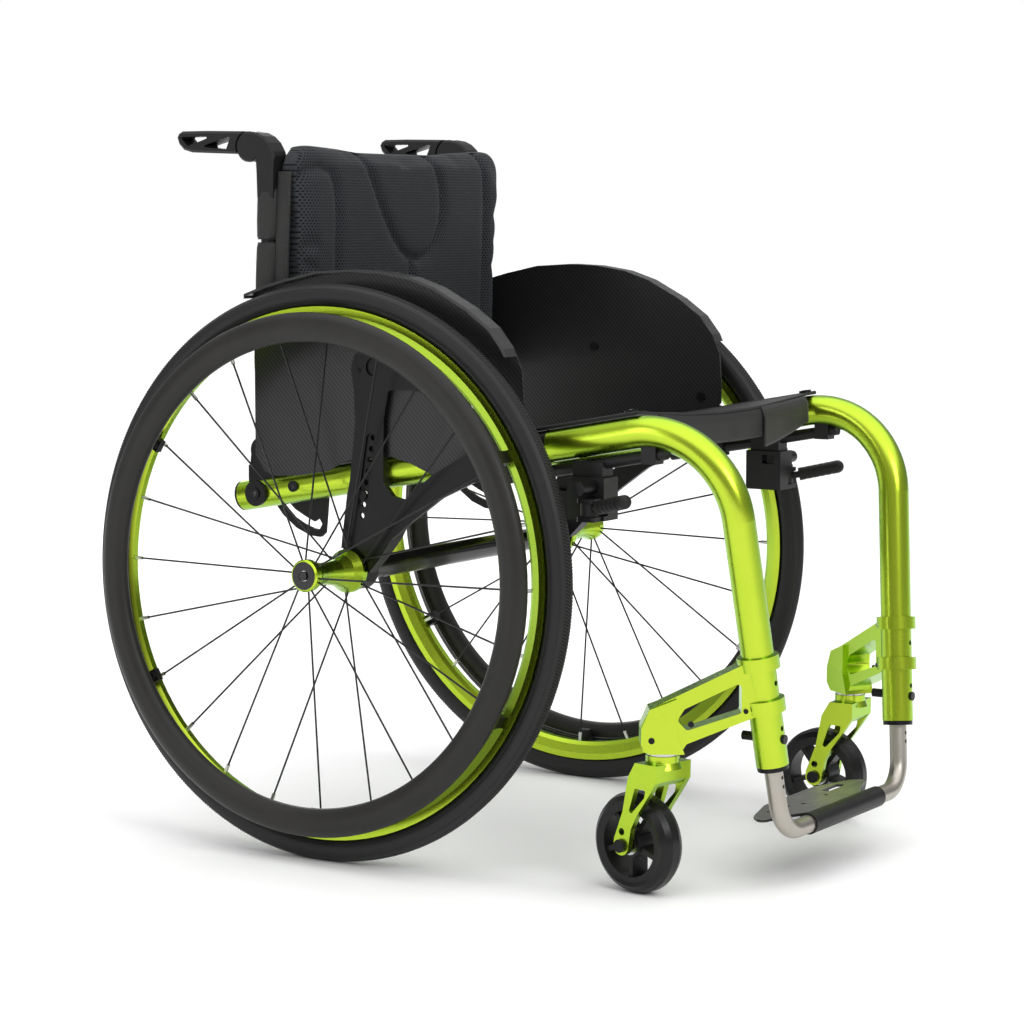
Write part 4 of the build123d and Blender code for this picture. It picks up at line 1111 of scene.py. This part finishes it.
# %% Hems and their stitches
def hem_path(x, lift, front=SEAT_FRONT, rear=SEAT_REAR, steps=50):
    points = []
    for i in range(steps + 1):
        y = front + (rear - front) * i / steps
        points.append(place(x, y + 0.178 * lift, tube_height(y) + 0.984 * lift))
    return points


for label, side in (("right", -1), ("left", 1)):
    hem = tube_mesh("hem", hem_path(side * 191.0, 18.6), 2.0 * MM, 12)
    new_piece(label + "_seat_hem", hem, nylon, "frame")
    for x, lift in ((174, 19.45), (187.5, 19.75)):
        route = path_piece("route", hem_path(side * x, lift))
        baked_copies(f"{label}_seat_stitches_{x:.0f}", path_tree, {
            "Path": route, "Copy": one_stitch, "Spacing": 4.5 * MM, "Finish": thread}, "frame")

# %% [markdown]
# ## Screw sockets
# A screw reads as a screw by the dark hexagon in its head. One small hexagonal cup is set in each
# head, in black gloss darker than the head: a painted shade for the socket's hollow.

# %% Sockets in the screw heads
def socket_cup(name, centre, out, radius):
    out = Vector(out).normalized()
    side = out.orthogonal().normalized()
    up = out.cross(side)
    corners = [side * math.cos(math.tau * k / 6) + up * math.sin(math.tau * k / 6) for k in range(6)]
    rows = []
    for share, height in ((1.0, 0.05), (0.62, 0.35), (0.55, 0.05), (0.5, -0.02)):
        rows.append([centre + corner * radius * share * MM + out * height * MM for corner in corners])
    mesh = grid_mesh(name, rows, round_columns=True, smooth=False)
    outward_normals(mesh, cap=True)
    return mesh


SEAT_UP = Vector((0, 0.178, 0.984))
SIDEWAYS = Vector((1, 0, 0))
TUBE_R = 16.0
HEM_TOP = 3.9                   # top of the hem above the tube
HEAD_HEIGHT = 2.6
SCREW_HEADS = []
for y in (-330.0, 84.0):
    lift = SEAT_UP * (TUBE_R + HEM_TOP + HEAD_HEIGHT) * MM
    SCREW_HEADS.append((place(TUBE_X, y, tube_height(y)) + lift, SEAT_UP, 3.0))
SCREW_HEADS.append((place(TUBE_X + TUBE_R + HEAD_HEIGHT, 72.7, 377.0), SIDEWAYS, 2.6))
SCREW_HEADS.append((place(TUBE_X + TUBE_R + 5.5, 121.0, tube_height(121.0)), SIDEWAYS, 3.2))
for k, (centre, out, radius) in enumerate(SCREW_HEADS):
    for label, side in (("left", 1), ("right", -1)):
        flip = Vector((side, 1, 1))
        cup = socket_cup("cup", centre * flip, out * flip, radius)
        # The cup's darker black is painted shade standing for the hollow of the socket.
        new_piece(f"{label}_screw_socket_{k}", cup, black_gloss, "frame")
print("sockets:", 2 * len(SCREW_HEADS))

# %% Finish
for piece in [o for o in bpy.context.scene.objects if o.hide_render and "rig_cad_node" not in o]:
    bpy.data.objects.remove(piece)
